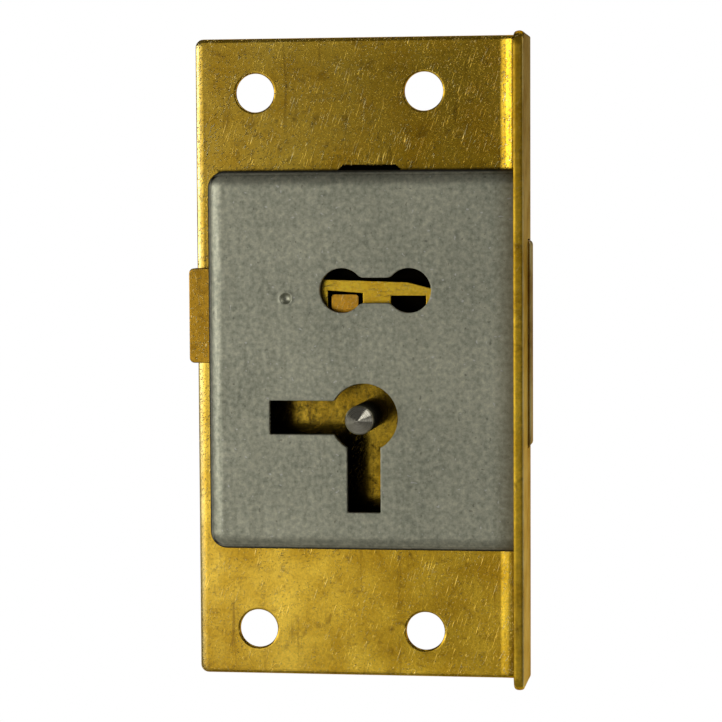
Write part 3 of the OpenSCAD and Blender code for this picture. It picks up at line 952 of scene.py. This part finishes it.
@dataclass
class BackPlate:
    """The brass plate and selvedge: one blank with its holes, eased by the punch, then bent."""

    finish: Brass
    hole_r: float = 1.93
    hole_span: tuple[float, float] = (17.0, 54.0)
    sink_r: float = 2.5
    sink_d: float = 0.5
    corner_r: float = 0.8
    near_corner_r: float = 1.5
    roll_w: float = 0.75
    roll_d: float = 0.3
    side_ease: float = 0.4
    end_ease: float = 0.36
    end_d: float = 0.46
    near_ease: float = 0.13
    back_ease: float = 0.15
    rim_ease: float = 0.16
    lug: Lug = Lug()
    lug_slot_ease: tuple[float, float] = (0.05, 0.02)
    slot_gap: float = 0.1
    root_gap: float = 0.02
    root_taper: float = 0.3
    root_d: float = 0.4

    def __post_init__(self) -> None:
        """Reads the plate's box and the hole pattern from the frame."""
        self.low, self.high = box_mm("back_plate")
        self.t = self.high[1]
        self.sheet = BentSheet(self.high[0] - self.t, self.high[0], self.t)
        pattern = next(m for m in frame["record"]["mounts"] if m["name"] == "screw_holes")
        self.pattern = np.array(pattern["pos_m"])[[0, 2]] / MM

    def bolt_slot(self) -> tuple[np.ndarray, np.ndarray]:
        """The slot for the bolt's head, as front and back loops on the blank.

        The slot is cut square to the selvedge, so on the back its plate side starts where the outer
        bend has come up to the plate's front face.

        Returns:
            The two loops.
        """
        low, high = box_mm("bolt")
        gap, sheet = self.slot_gap, self.sheet
        end = sheet.length(low[1] - gap)
        probe = np.linspace(sheet.start, sheet.end, 400)
        bent = sheet.follow(np.column_stack([probe, np.full_like(probe, self.t), np.zeros_like(probe)]))
        start_back = float(probe[np.argmax(bent[:, 1] <= 0)])
        height = np.repeat([low[2] - gap, high[2] + gap], sheet.steps + 2)
        along = np.append(sheet.stations(), end)
        front = np.column_stack([np.concatenate([along, along[::-1]]), height])
        back = np.column_stack([np.maximum(front[:, 0], start_back), height])
        return front, back

    def build(self) -> bpy.types.Object:
        """Builds the blank with its holes, bends it and makes the piece.

        Returns:
            The plate.
        """
        sheet, t = self.sheet, self.t
        skin = Skin()
        left, far = self.low[0], sheet.length(self.low[1])
        low, high = np.array([left, self.low[2]]), np.array([far, self.high[2]])
        blank = rounded_box(low, high, self.corner_r, self.near_corner_r)
        stations = sheet.stations()
        outline = self.with_stations(blank, stations)
        places = [left, left + self.corner_r, sheet.start, sheet.end, far - self.near_corner_r, far]
        bent = [self.end_ease, self.end_ease, self.near_ease]
        roll = np.interp(outline[:, 0], places, [self.roll_w, self.side_ease, self.side_ease, *bent])
        ease = np.interp(outline[:, 0], places, [self.back_ease, self.back_ease, self.back_ease, *bent])
        deep = np.interp(outline[:, 0], places[2:], [self.roll_d, self.end_d, self.end_d, self.roll_d])
        edges = skin.rim(outline, -1, (0.0, t), (roll, deep), (ease, deep))
        rims = [self.screw_hole(skin, self.pattern + np.array([x, z]) * self.hole_span)
                for x in (-0.5, 0.5) for z in (-0.5, 0.5)]
        eases = [(size, size) for size in self.lug_slot_ease]
        rims += [skin.rim(self.lug.outline(side), 1, (0.0, t), *eases, 2) for side in (-1, 1)]
        slots = self.bolt_slot()
        skin.patch(np.stack([placed(slots[0], 0.0), placed(slots[1], t)], axis=1), closed=True)
        fronts, backs = (list(loops) for loops in zip(*rims, slots))
        backs += [self.root_recess(skin, node) for node in ("key_pin", "lever_pivot")]
        for loop, slot, holes, depth in zip(edges, slots, (fronts, backs), (0.0, t)):
            skin.web(loop, holes, depth, self.bend_lines(stations, loop, slot))
        piece = skin.piece("plate_and_selvedge", self.finish.material(), bent=sheet)
        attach(piece, Body.CASE.value)
        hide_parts("back_plate")
        return piece

    @staticmethod
    def with_stations(outline: np.ndarray, stations: np.ndarray) -> np.ndarray:
        """Adds a point on the outline's level sides at each station of the bend.

        Args:
            outline: The blank's closed outline, anticlockwise.
            stations: The places along the blank.

        Returns:
            The outline with the extra points.
        """
        half = int(np.argmax(outline[:, 0] > stations[-1]))
        last = len(outline) - int(np.argmax(outline[::-1, 0] > stations[-1]))
        foot, top = outline[:, 1].min(), outline[:, 1].max()
        lower = np.column_stack([stations, np.full(len(stations), foot)])
        upper = np.column_stack([stations[::-1], np.full(len(stations), top)])
        return np.vstack([outline[:half], lower, outline[half:last], upper, outline[last:]])

    @staticmethod
    def bend_lines(stations: np.ndarray, loop: np.ndarray, slot: np.ndarray) -> np.ndarray:
        """Lines across the blank that carry the bend, from its edges to the bolt's slot.

        Args:
            stations: The places along the blank.
            loop: The face's outer loop.
            slot: The bolt slot's loop on that face.

        Returns:
            Pairs of points.
        """
        low, high = loop[:, 1].min(), loop[:, 1].max()
        foot, top = slot[:, 1].min(), slot[:, 1].max()
        cut = stations >= slot[:, 0].min() - 1e-6
        ends = [np.where(cut, foot, high), np.where(cut, top, low)]
        lower = np.stack([np.column_stack([stations, np.full(len(stations), low)]),
                          np.column_stack([stations, ends[0]])], axis=1)
        upper = np.stack([np.column_stack([stations, ends[1]]),
                          np.column_stack([stations, np.full(len(stations), high)])], axis=1)
        return np.concatenate([lower, upper[cut]])

    def screw_hole(self, skin: Skin, centre: np.ndarray) -> tuple[np.ndarray, np.ndarray]:
        """Adds a screw hole: a rolled-over front edge, a straight wall and a countersink behind.

        Args:
            skin: The plate's surface.
            centre: The hole's middle, in front view.

        Returns:
            The loops where the hole meets the front and the back face.
        """
        turn = np.linspace(0, np.pi / 2, 7)
        radius = np.concatenate([
            [self.hole_r + self.rim_ease + FLAT],
            self.hole_r + self.rim_ease * (1 - np.sin(turn)),
            [self.hole_r, self.sink_r],
        ])
        depth = np.concatenate([[0.0], self.rim_ease * (1 - np.cos(turn)), [self.t - self.sink_d, self.t]])
        around = arc((0.0, 0.0), 1.0, 0, 360, 72)[:-1]
        plan = centre + around[:, None] * radius[:, None]
        skin.patch(placed(plan, depth), closed=True)
        return plan[:, 0], plan[:, -1]

    def root_recess(self, skin: Skin, node: str) -> np.ndarray:
        """Adds the shallow recess on the back that a riveted root fills.

        Args:
            skin: The plate's surface.
            node: The riveted node.

        Returns:
            The loop where the recess meets the back face.
        """
        centre, radius = root_of(node)
        around = arc((0.0, 0.0), 1.0, 0, 360, 48)[:-1]
        rings = np.array([radius + self.root_gap, radius - self.root_taper, 0.0])
        plan = centre + around[:, None] * rings[:, None]
        skin.patch(placed(plan, self.t - self.root_d * np.array([0.0, 1.0, 1.0])), closed=True)
        return plan[:, 0]


def root_of(node: str) -> tuple[np.ndarray, float]:
    """Finds a riveted root on the plate's back.

    Args:
        node: The riveted construction node.

    Returns:
        The root's middle in front view, and the radius of its riveted end.
    """
    tolerance = 0.01
    points = node_points(node) / MM
    end = points[points[:, 1] > points[:, 1].max() - tolerance][:, [0, 2]]
    centre = (end.min(0) + end.max(0)) / 2
    return centre, float((end.max(0) - end.min(0)).max() / 2)


@dataclass
class Cap:
    """The drawn steel cap: a front, rounded drawn edges and walls, with keyhole, window and lugs."""

    finish: DrawnSteel
    t: float = 1.0
    edge_r: float = 1.6
    corner_r: float = 1.7
    rim_ease: float = 0.06
    back_ease: float = 0.03
    lug: Lug = Lug()
    key_r: float = 3.35
    slot_half: float = 1.65
    slot_l: float = 9.3
    slot_corner: float = 0.14
    window_r: float = 2.17
    window_x: tuple[float, float] = (-2.1, 4.48)
    window_z: float = 12.42
    neck_half: float = 1.235
    neck_r: float = 0.8
    mark: tuple[float, float] = (-7.61, 11.65)
    mark_r: float = 0.55
    mark_d: float = 0.3
    mark_lip: float = 0.03
    tail_gap: float = 0.1
    relief: float = 2.1
    burr: float = 0.03

    def __post_init__(self) -> None:
        """Reads the cap's box and the bolt's tail from the frame."""
        low, high = box_mm("cap")
        self.left, self.right, self.front = low[0], high[0], low[1]
        self.foot, self.top = -self.lug.wall(-1), self.lug.wall(1)
        self.back = high[1]
        tail_low, tail_high = self.tail()
        self.tail_low, self.tail_high = tail_low - self.tail_gap, tail_high + self.tail_gap
        self.over_bolt = box_mm("bolt")[0][1] - self.tail_gap
        plate = box_mm("back_plate")[1]
        self.bend = plate[0] - plate[1] - self.relief

    @staticmethod
    def tail() -> tuple[float, float]:
        """Finds the heights between which the bolt's tail leaves the cap.

        Returns:
            The lower and the upper height.
        """
        tail_l = 1.0
        points = node_points("bolt") / MM
        heights = points[points[:, 0] < points[:, 0].min() + tail_l, 2]
        return float(heights.min()), float(heights.max())

    def keyhole(self) -> np.ndarray:
        """The keyhole: a circle with a slot to the left and a slot down, anticlockwise.

        Returns:
            The loop's points.
        """
        h, far, r = self.slot_half, self.slot_l, self.slot_corner
        meet = math.degrees(math.asin(h / self.key_r))
        return np.vstack([
            arc((0, 0), self.key_r, meet - 90, 180 - meet, 72),
            arc((r - far, h - r), r, 90, 180, 4),
            self.torn_edge(np.array([-far, h - 2 * r]), np.array([-far, 2 * r - h]), 26),
            arc((r - far, r - h), r, 180, 270, 4),
            arc((0, 0), self.key_r, 180 + meet, 270 - meet, 12),
            arc((r - h, r - far), r, 180, 270, 4),
            arc((h - r, r - far), r, 270, 360, 4),
        ])

    def torn_edge(self, start: np.ndarray, end: np.ndarray, steps: int) -> np.ndarray:
        """A straight edge torn by the punch: each point is off the line by a sum of three sines.

        Args:
            start: The first point.
            end: The last point.
            steps: The number of steps.

        Returns:
            The points.
        """
        share = np.linspace(0, 1, steps + 1)
        run = end - start
        off = np.array([-run[1], run[0]]) / np.linalg.norm(run)
        wave = np.sin(41 * share) + np.sin(67 * share + 1) + 0.6 * np.sin(113 * share + 2)
        fade = np.sin(np.pi * share) ** 0.5
        return start + share[:, None] * run + (self.burr * wave * fade)[:, None] * off

    def window(self) -> np.ndarray:
        """The lever window: two circles joined by a neck, with a fillet at each join, anticlockwise.

        Returns:
            The loop's points.
        """
        rise = self.neck_half + self.neck_r
        reach = math.sqrt((self.window_r + self.neck_r) ** 2 - rise ** 2)
        meet = math.degrees(math.atan2(rise, reach))
        (left, right), z = self.window_x, self.window_z
        return np.vstack([
            arc((right - reach, z - rise), self.neck_r, 90, meet, 6)[:-1],
            arc((right, z), self.window_r, 180 + meet, 540 - meet, 48)[:-1],
            arc((right - reach, z + rise), self.neck_r, -meet, -90, 6),
            arc((left + reach, z + rise), self.neck_r, -90, meet - 180, 6)[:-1],
            arc((left, z), self.window_r, meet, 360 - meet, 48)[:-1],
            arc((left + reach, z - rise), self.neck_r, 180 - meet, 90, 6),
        ])

    def wall_path(self) -> tuple[np.ndarray, np.ndarray, np.ndarray]:
        """The wall's path from the selvedge over the top, down the free end and back along the foot.

        Returns:
            The path's points, their outward normals, and for each stretch the level where it ends.
        """
        r, bend = self.corner_r, self.bend
        upper = arc((self.left + r, self.top - r), r, 90, 180, 10)
        lower = arc((self.left + r, self.foot + r), r, 180, 270, 10)
        path = np.vstack([
            [[self.right, self.top], [bend, self.top]], upper,
            [[self.left, self.tail_high], [self.left, self.tail_low]], lower,
            [[bend, self.foot], [self.right, self.foot]],
        ])
        turns = np.concatenate([
            [90, 90], np.linspace(90, 180, 11), [180, 180], np.linspace(180, 270, 11), [270, 270]])
        normals = np.column_stack([np.cos(np.radians(turns)), np.sin(np.radians(turns))])
        ends = np.full(len(path) - 1, Level.AT_PLATE.value)
        ends[[0, -1]] = Level.OVER_BEND.value
        ends[len(upper) + 2] = Level.OVER_BOLT.value
        return path, normals, ends

    def shell(self, inset: float, path: np.ndarray, normals: np.ndarray) -> np.ndarray:
        """One side of the drawn wall: a quarter circle carried along the path, then straight stretches.

        Args:
            inset: How far the side lies inside the path.
            path: The path's points.
            normals: Their outward normals.

        Returns:
            The grid of points, by station and by place down the wall.
        """
        r, face = self.edge_r - inset, self.front + inset
        turn = np.linspace(0, np.pi / 2, 13)
        depth = np.concatenate([[face], face + r * (1 - np.cos(turn)), [self.over_bolt, -self.relief, 0.0]])
        inward = np.concatenate([[inset + r + FLAT], inset + r * (1 - np.sin(turn)), [inset] * 3])
        plan = path[:, None] - normals[:, None] * inward[:, None]
        return placed(plan, depth)

    def build(self) -> bpy.types.Object:
        """Builds the cap.

        Returns:
            The cap.
        """
        skin = Skin()
        path, normals, ends = self.wall_path()
        outer, inner = self.shell(0.0, path, normals), self.shell(self.t, path, normals)
        first = outer.shape[1] - len(Level)
        rows = np.arange(outer.shape[1] - 1)
        keep = rows[None] < (first + ends)[:, None]
        skin.patch(outer, keep=keep)
        skin.patch(inner, keep=keep)
        self.close_wall(skin, outer, inner, first + ends)
        depths = (self.front, self.front + self.t)
        eases = [(size, size) for size in (self.rim_ease, self.back_ease)]
        rims = [skin.rim(loop, 1, depths, *eases) for loop in (self.keyhole(), self.window())]
        fronts, backs = (list(loops) for loops in zip(*rims))
        fronts.append(self.punch_mark(skin))
        for side, holes, depth in zip((outer, inner), (fronts, backs), depths):
            skin.web(side[:, 0][:, [0, 2]], holes, depth)
        for side in (-1, 1):
            self.add_lug(skin, side)
        piece = skin.piece("drawn_cap", self.finish.material(self.hollow()))
        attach(piece, Body.CASE.value)
        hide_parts("cap")
        return piece

    def hollow(self) -> Corners:
        """Gives the lowest and highest corners of the hollow, out to the middle of the sheet."""
        half = self.t / 2
        return (np.array([self.left + half, self.front + half, self.foot + half]),
                np.array([self.right + half, self.t, self.top - half]))

    def footprint(self, spill: float, reach: float = 5.0) -> Corners:
        """Gives the corners of the stretch of plate under the cap, with the painted shade that spills out
        round it.

        Args:
            spill: How far the painted shade goes past the cap's walls.
            reach: How far the stretch goes in Y, deep enough that only its sides count.

        Returns:
            The low and the high corner.
        """
        return (np.array([self.left - spill, -reach, self.foot - spill]),
                np.array([self.right, reach, self.top + spill]))

    def close_wall(self, skin: Skin, outer: np.ndarray, inner: np.ndarray, stop: np.ndarray) -> None:
        """Closes the sheet's thickness along the wall's lower edge, at its steps and at its two ends.

        Args:
            skin: The cap's surface.
            outer: The outer side's points.
            inner: The inner side's points.
            stop: For each stretch, the row where it ends.
        """
        for i, row in enumerate(stop):
            skin.patch(np.stack([outer[i:i + 2, row], inner[i:i + 2, row]], axis=1))
        for i in range(1, len(stop)):
            low, high = sorted((stop[i - 1], stop[i]))
            if low < high:
                skin.patch(np.stack([outer[i, low:high + 1], inner[i, low:high + 1]], axis=1))
        for i, row in ((0, stop[0]), (len(stop), stop[-1])):
            skin.patch(np.stack([outer[i, :row + 1], inner[i, :row + 1]], axis=1))
        edge = np.stack([outer[[0, -1], 0], inner[[0, -1], 0]], axis=1)
        skin.patch(edge)

    def punch_mark(self, skin: Skin) -> np.ndarray:
        """Adds the punch mark: a bowl with a slightly raised lip, spun about its middle.

        Args:
            skin: The cap's surface.

        Returns:
            The loop where the mark meets the front face.
        """
        r, lip, deep = self.mark_r, self.mark_lip, self.mark_d
        profile = np.array([
            [1.5 * r + FLAT, 0.0], [1.5 * r, 0.0], [1.3 * r, -0.5 * lip], [1.1 * r, -lip], [r, -0.4 * lip],
            [0.85 * r, 0.3 * deep], [0.6 * r, 0.75 * deep], [0.3 * r, 0.97 * deep], [0.0, deep],
        ])
        skin.turned(profile + [0.0, self.front], self.mark, 32)
        return arc(self.mark, 1.5 * r + FLAT, 0, 360, 32)[:-1]

    def add_lug(self, skin: Skin, side: int) -> None:
        """Adds a lug that passes through the plate, with its riveted foot.

        Args:
            skin: The cap's surface.
            side: 1 at the cap's top and -1 at its foot.
        """
        lug, back = self.lug, self.back - self.lug.foot_t
        half, wall = lug.width / 2 + lug.snug, lug.wall(side)
        low, high = sorted((side * (wall - self.t), side * (wall - 2 * lug.snug)))
        stem = rounded_box(np.array([lug.x - half, low]), np.array([lug.x + half, high]), lug.stem_r, steps=3)
        skin.slab(stem, (-self.t, back), lug.stem_ease)
        skin.slab(lug.outline(side, lug.snug), (back, self.back), lug.foot_ease)


@dataclass
class TurnedPins:
    """The key pin with its pointed end, and the lever pivot: steel turned and riveted into the plate."""

    finish: TurnedSteel
    pin_r: float = 1.41
    pin_point: float = 1.3
    pin_nose: float = 0.09
    post_r: float = 1.25
    plate_t: float = 1.0
    peen_d: float = 0.4
    peen_w: float = 0.35
    peen_edge: float = 0.05
    ease: float = 0.06

    def build(self) -> list[bpy.types.Object]:
        """Builds both pins.

        Returns:
            The key pin and the lever pivot.
        """
        x, z = root_of("lever_pivot")[0]
        post_finish = replace(self.finish, name="turned_steel_post", centre=(float(x), 0.0, float(z)))
        return [self.pin(self.finish.material()), self.post(post_finish.material())]

    def root(self, radius: float) -> np.ndarray:
        """The riveted root's profile, from the middle of the back face to the shoulder at the plate.

        Args:
            radius: The radius of the riveted end.

        Returns:
            Radius and depth of each point.
        """
        t, neck = self.plate_t, radius - self.peen_w
        return np.array([
            [0.0, t], [0.6 * radius, t], [radius - self.ease, t], [radius, t - self.peen_edge],
            [neck, t - self.peen_d], [neck, 0.0],
        ])

    def pin(self, material: bpy.types.Material) -> bpy.types.Object:
        """Builds the key pin: root, shank and a turned point with a small round nose.

        Args:
            material: The pin's finish.

        Returns:
            The key pin.
        """
        centre, radius = root_of("key_pin")
        tip = box_mm("key_pin")[0][1]
        shoulder, nose = tip + self.pin_point, self.pin_nose
        turn = np.linspace(0, np.pi / 2, 7)[1:]
        slope = (self.pin_r - nose) / self.pin_point
        cone = np.linspace(0, 1, 9)[1:-1]
        profile = np.vstack([
            self.root(radius),
            [[self.pin_r, 0.0], [self.pin_r, shoulder + self.ease]],
            [[self.pin_r - self.ease * 0.5, shoulder - self.ease * 0.4]],
            np.column_stack([self.pin_r - cone * self.pin_point * slope, shoulder - cone * self.pin_point]),
            np.column_stack([nose * np.cos(turn), tip + nose * 0.6 * (1 - np.sin(turn))]),
        ])
        skin = Skin()
        skin.turned(profile, tuple(centre))
        piece = skin.piece("pointed_key_pin", material, crease=35.0)
        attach(piece, Body.CASE.value)
        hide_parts("key_pin")
        return piece

    def post(self, material: bpy.types.Material) -> bpy.types.Object:
        """Builds the lever pivot: root and a plain post.

        Args:
            material: The post's finish.

        Returns:
            The lever pivot.
        """
        centre, radius = root_of("lever_pivot")
        end = box_mm("lever_pivot")[0][1]
        profile = np.vstack([
            self.root(radius),
            [[self.post_r, 0.0], [self.post_r, end + self.ease], [self.post_r - self.ease, end], [0.0, end]],
        ])
        skin = Skin()
        skin.turned(profile, tuple(centre), 64)
        piece = skin.piece("riveted_lever_pivot", material, crease=35.0)
        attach(piece, Body.CASE.value)
        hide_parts("lever_pivot")
        return piece


@dataclass
class BoltSet:
    """The brass bolt and the stump riveted into it."""

    bolt_finish: Brass
    stump_finish: Brass
    bolt_ease: float = 0.4
    stump_ease: float = 0.1

    def build(self) -> list[bpy.types.Object]:
        """Builds both pieces with eased edges.

        Returns:
            The bolt and the stump.
        """
        made = [
            eased_copy("bolt", "brass_bolt", self.bolt_finish.material(), self.bolt_ease),
            eased_copy("bolt_stump", "brass_stump", self.stump_finish.material(), self.stump_ease),
        ]
        for piece in made:
            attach(piece, Body.BOLT.value)
        return made


@dataclass
class LeverPack:
    """The levers with their leaf springs, and the collar over them."""

    lever_finish: Brass
    spring_finish: SpringStrip
    count: int = 4
    ease: float = 0.06

    def build(self) -> list[bpy.types.Object]:
        """Builds the levers with eased edges, and dresses the springs and the collar.

        Returns:
            The levers.
        """
        brass, steel = self.lever_finish.material(), self.spring_finish.material()
        made = []
        for i in range(1, self.count + 1):
            lever = eased_copy(f"lever_{i}", f"stamped_lever_{i}", brass, self.ease)
            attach(lever, f"lever_set_{i}")
            made.append(lever)
            self.dress(f"lever_spring_{i}", steel)
        self.dress("pivot_collar", brass)
        return made

    @staticmethod
    def dress(node: str, material: bpy.types.Material) -> None:
        """Gives a construction node its finish.

        Args:
            node: The construction node.
            material: Its finish.
        """
        mesh = frame["nodes"][node].data
        mesh.materials.clear()
        mesh.materials.append(material)
        log.info("%s: dressed in %s", node, material.name)


# Studio and camera


@dataclass(frozen=True)
class SoftPanel:
    """A soft studio panel, placed by its direction from the lock."""

    name: str
    azimuth: float
    elevation: float
    distance: float
    size: tuple[float, float]
    radiance: float

    def build(self) -> bpy.types.Object:
        """Makes the panel's area lamp, aimed at the lock.

        Returns:
            The lamp.
        """
        lamp = bpy.data.lights.new(self.name, "AREA")
        lamp.shape = "RECTANGLE"
        lamp.size, lamp.size_y = self.size
        lamp.energy = self.radiance * math.pi * self.size[0] * self.size[1]
        made = bpy.data.objects.new(self.name, lamp)
        bpy.context.scene.collection.objects.link(made)
        back = direction(self.azimuth, self.elevation)
        made.location = back * self.distance
        made.rotation_mode = "QUATERNION"
        made.rotation_quaternion = (-back).to_track_quat("-Z", "Y")
        made.visible_camera = False
        return made


def direction(azimuth: float, elevation: float) -> Vector:
    """Points from the lock towards a bearing: azimuth 0 is the key side, and 90 the selvedge's side."""
    a, e = math.radians(azimuth), math.radians(elevation)
    return Vector((math.sin(a) * math.cos(e), -math.cos(a) * math.cos(e), math.sin(e)))


@dataclass(frozen=True)
class Fade:
    """A smooth change of the dome's light along one bearing.

    The light is multiplied by the ramp's value at a ray's dot product with the bearing.
    """

    towards: tuple[float, float, float]
    ramp: Ramp


@dataclass
class Studio:
    """A pale floor, soft panels, a dome that is dim overhead and round the camera, and the camera."""

    white: str = "#ffffff"
    floor_tone: str = "#eeedea"
    floor_drop: float = 0.5
    floor_glow: float = 0.55
    floor_behind: Ramp = Ramp(0.0, 0.3)
    floor_reach: tuple[float, float, float] = (3.0, -3.0, 1.2)
    dome_light: float = 1.5
    fades: list[Fade] = field(default_factory=lambda: [
        Fade((0.0, 0.0, 1.0), Ramp(0.02, 0.28, 1.0, 0.07)),
        Fade((0.0, 0.0, 1.0), Ramp(-0.75, -0.3, 0.3, 1.0)),
        Fade((-1.0, 0.0, 0.0), Ramp(0.75, 0.97, 1.0, 0.3)),
        Fade((1.0, 0.0, 0.0), Ramp(0.0, 0.5, 1.0, 0.35)),
        Fade((0.0, 1.0, 0.0), Ramp(-0.2, 0.3, 1.0, 0.3)),
    ])
    camera_shade: Ramp = Ramp(0.87, 0.975, 1.0, 0.05)
    backdrop: Ramp = Ramp(0.975, 0.995)
    backdrop_low: Ramp = Ramp(-0.1, 0.06, 1.0, 0.5)
    panels: list[SoftPanel] = field(default_factory=lambda: [
        SoftPanel("left_panel", -60.0, 8.0, 0.6, (0.4, 0.21), 2.1),
        SoftPanel("low_glow", -30.0, -19.0, 0.7, (0.6, 0.4), 0.5),
        SoftPanel("edge_card", 150.0, -15.0, 0.6, (0.3, 0.3), 0.9),
        SoftPanel("side_card", 71.0, 40.0, 0.6, (0.2, 0.4), 1.8),
        SoftPanel("rear_wash", 180.0, 45.0, 2.0, (1.5, 1.5), 0.8),
    ])
    image_px: float = 722.0
    focal_px: float = 2736.5
    centre_px: tuple[float, float] = (337.0, 403.75)
    azimuth: float = 8.63
    elevation: float = 4.09
    roll: float = -0.33
    aim: tuple[float, float, float] = (-3.76, 0.0, 0.83)
    distance: float = 274.7
    sensor: float = 36.0

    def build(self) -> None:
        """Sets up the view, the dome, the floor, the panels and the camera."""
        bpy.context.scene.view_settings.view_transform = "Standard"
        self.dome()
        self.floor()
        for panel in self.panels:
            panel.build()
        self.camera()

    def dome(self) -> None:
        """Makes the world: a dim dome, and a white background for the camera and for what mirrors it."""
        world = bpy.data.worlds.new("studio_dome")
        bpy.context.scene.world = world
        world.use_nodes = True
        tree = world.node_tree
        tree.nodes.clear()
        place = add(tree, "TexCoord")["Generated"]
        level: Socket | float = self.dome_light
        round_camera = Fade(tuple(direction(self.azimuth, self.elevation)), self.camera_shade)
        for fade in [*self.fades, round_camera]:
            dot = add(tree, "VectorMath", {0: place, 1: fade.towards}, operation="DOT_PRODUCT")["Value"]
            share = add(tree, "MapRange", fade.ramp.feeds(dot), interpolation_type="SMOOTHSTEP")[0]
            level = add(tree, "Math", {0: level, 1: share}, operation="MULTIPLY")[0]
        glow = add(tree, "Background", {"Color": linear(self.white), "Strength": level})[0]
        white = add(tree, "Background", {"Color": linear(self.white), "Strength": 1.0})[0]
        _, y, z = add(tree, "SeparateXYZ", {0: place})
        behind = add(tree, "MapRange", self.backdrop.feeds(y))[0]
        low = add(tree, "MapRange", self.backdrop_low.feeds(z))[0]
        behind = add(tree, "Math", {0: behind, 1: low}, operation="MULTIPLY")[0]
        mixed = add(tree, "MixShader", {0: self.shown(tree, behind), 1: glow, 2: white})[0]
        add(tree, "OutputWorld", {"Surface": mixed})

    @staticmethod
    def shown(tree: bpy.types.NodeTree, behind: Socket) -> Socket:
        """Adds nodes for the share of a backdrop that a ray sees: all from the camera, some in mirrors.

        Args:
            tree: The node tree.
            behind: The share that mirrored rays and rays let through see.

        Returns:
            The share.
        """
        rays = add(tree, "LightPath")
        kinds = {0: rays["Is Glossy Ray"], 1: rays["Is Transmission Ray"]}
        mirror = add(tree, "Math", kinds, operation="MAXIMUM")[0]
        seen = add(tree, "Math", {0: mirror, 1: behind}, operation="MULTIPLY")[0]
        return add(tree, "Math", {0: seen, 1: rays["Is Camera Ray"]}, operation="MAXIMUM")[0]

    def floor(self) -> None:
        """Makes the pale floor: a square sheet far under the lock."""
        half, near, far = self.floor_reach
        x, y = np.meshgrid(np.linspace(-half, half, 9), np.linspace(near, far, 9), indexing="ij")
        skin = Skin()
        skin.patch(np.stack([x, y, np.full_like(x, -self.floor_drop)], axis=-1) / MM)
        paper = bpy.data.materials.new("studio_paper")
        paper.use_nodes = True
        tree = paper.node_tree
        tree.nodes.clear()
        matt = add(tree, "BsdfDiffuse", {"Color": linear(self.floor_tone)})[0]
        # The dome is dim overhead, so the floor glows for the camera, and behind the lock in mirrors too
        place = add(tree, "TexCoord")["Object"]
        behind = add(tree, "MapRange", self.floor_behind.feeds(add(tree, "SeparateXYZ", {0: place})[1]))[0]
        level = add(tree, "Math", {0: self.shown(tree, behind), 1: self.floor_glow}, operation="MULTIPLY")[0]
        glow = add(tree, "Emission", {"Color": linear(self.floor_tone), "Strength": level})[0]
        both = add(tree, "AddShader", {0: matt, 1: glow})[0]
        add(tree, "OutputMaterial", {"Surface": both})
        skin.piece("studio_floor", paper)

    def camera(self) -> None:
        """Makes the camera at the photograph's angle, with its framing as lens shift."""
        data = bpy.data.cameras.new("photo_camera")
        data.sensor_width = self.sensor
        data.lens = self.focal_px * self.sensor / self.image_px
        data.shift_x = 0.5 - self.centre_px[0] / self.image_px
        data.shift_y = self.centre_px[1] / self.image_px - 0.5
        data.clip_start, data.clip_end = 0.01, 100.0
        made = bpy.data.objects.new("photo_camera", data)
        bpy.context.scene.collection.objects.link(made)
        back = direction(self.azimuth, self.elevation)
        right = (-back).cross(Vector((0, 0, 1))).normalized()
        up = right.cross(-back)
        c, s = math.cos(math.radians(self.roll)), math.sin(math.radians(self.roll))
        turned = Matrix((c * right + s * up, c * up - s * right, back)).transposed()
        place = (Vector(self.aim) + back * self.distance) * MM
        made.matrix_world = Matrix.Translation(place) @ turned.to_4x4()
        bpy.context.scene.camera = made


def main() -> None:
    """Builds the lock's pieces in order, then the studio."""
    logging.basicConfig(level=logging.INFO, format="%(name)s: %(message)s")
    # A painted shade dims the plate under the cap and in a thin line round its walls, blotchy with dirt.
    # The bolt is painted in shade where the cap covers it, and the levers and the stump behind their front
    # faces
    cap = Cap(DrawnSteel())
    behind = limits(near=-6.15)
    # The pale patches on the plate's edges and selvedge, and on the bolt's end, are a painted sheen and
    # highlight
    plate_brass = Brass(
        "rolled_brass_sheet", cap.footprint(0.2), roughness=0.17, stained=1.2, worn=Ramp(-12.0, 18.0, 0.5),
        painted_sheen=(Ramp(4.0, -18.0, 0.0, 0.08), Ramp(-17.2, -17.9, 0.0, 0.8), Ramp(15.5, 15.6, 0.0, 0.9)),
        thick=Ramp(-2.0, -0.4, 0.52, 0.84), rolled=limits(right=15.6, near=-7.75))
    bolt_brass = Brass(
        "dressed_brass_bar", limits(left=-15.3, right=9.0), bright="#c4962e", dull="#a47a1c", scratched=0.5,
        lay=Lay.UPRIGHT, painted_sheen=(Ramp(15.7, 15.85),), rolled=limits(right=15.8))
    stump_brass = Brass(
        "filed_brass_block", behind, bright="#e8ac34", dull="#d69426", roughness=0.36, scratched=0.4)
    lever_brass = Brass(
        "stamped_brass", behind, bright="#ffd440", dull="#ffc42e", roughness=0.3, scratched=0.5, stained=0.4,
        lay=Lay.LEVEL)
    pieces = [
        BackPlate(plate_brass).build(),
        cap.build(),
        *TurnedPins(TurnedSteel()).build(),
        *BoltSet(bolt_brass, stump_brass).build(),
        *LeverPack(lever_brass, SpringStrip()).build(),
    ]
    for piece in pieces:
        log.info("%s: %d faces in %s", piece.name, len(piece.data.polygons), piece.active_material.name)
    Studio().build()


if __name__ == "__main__":
    main()
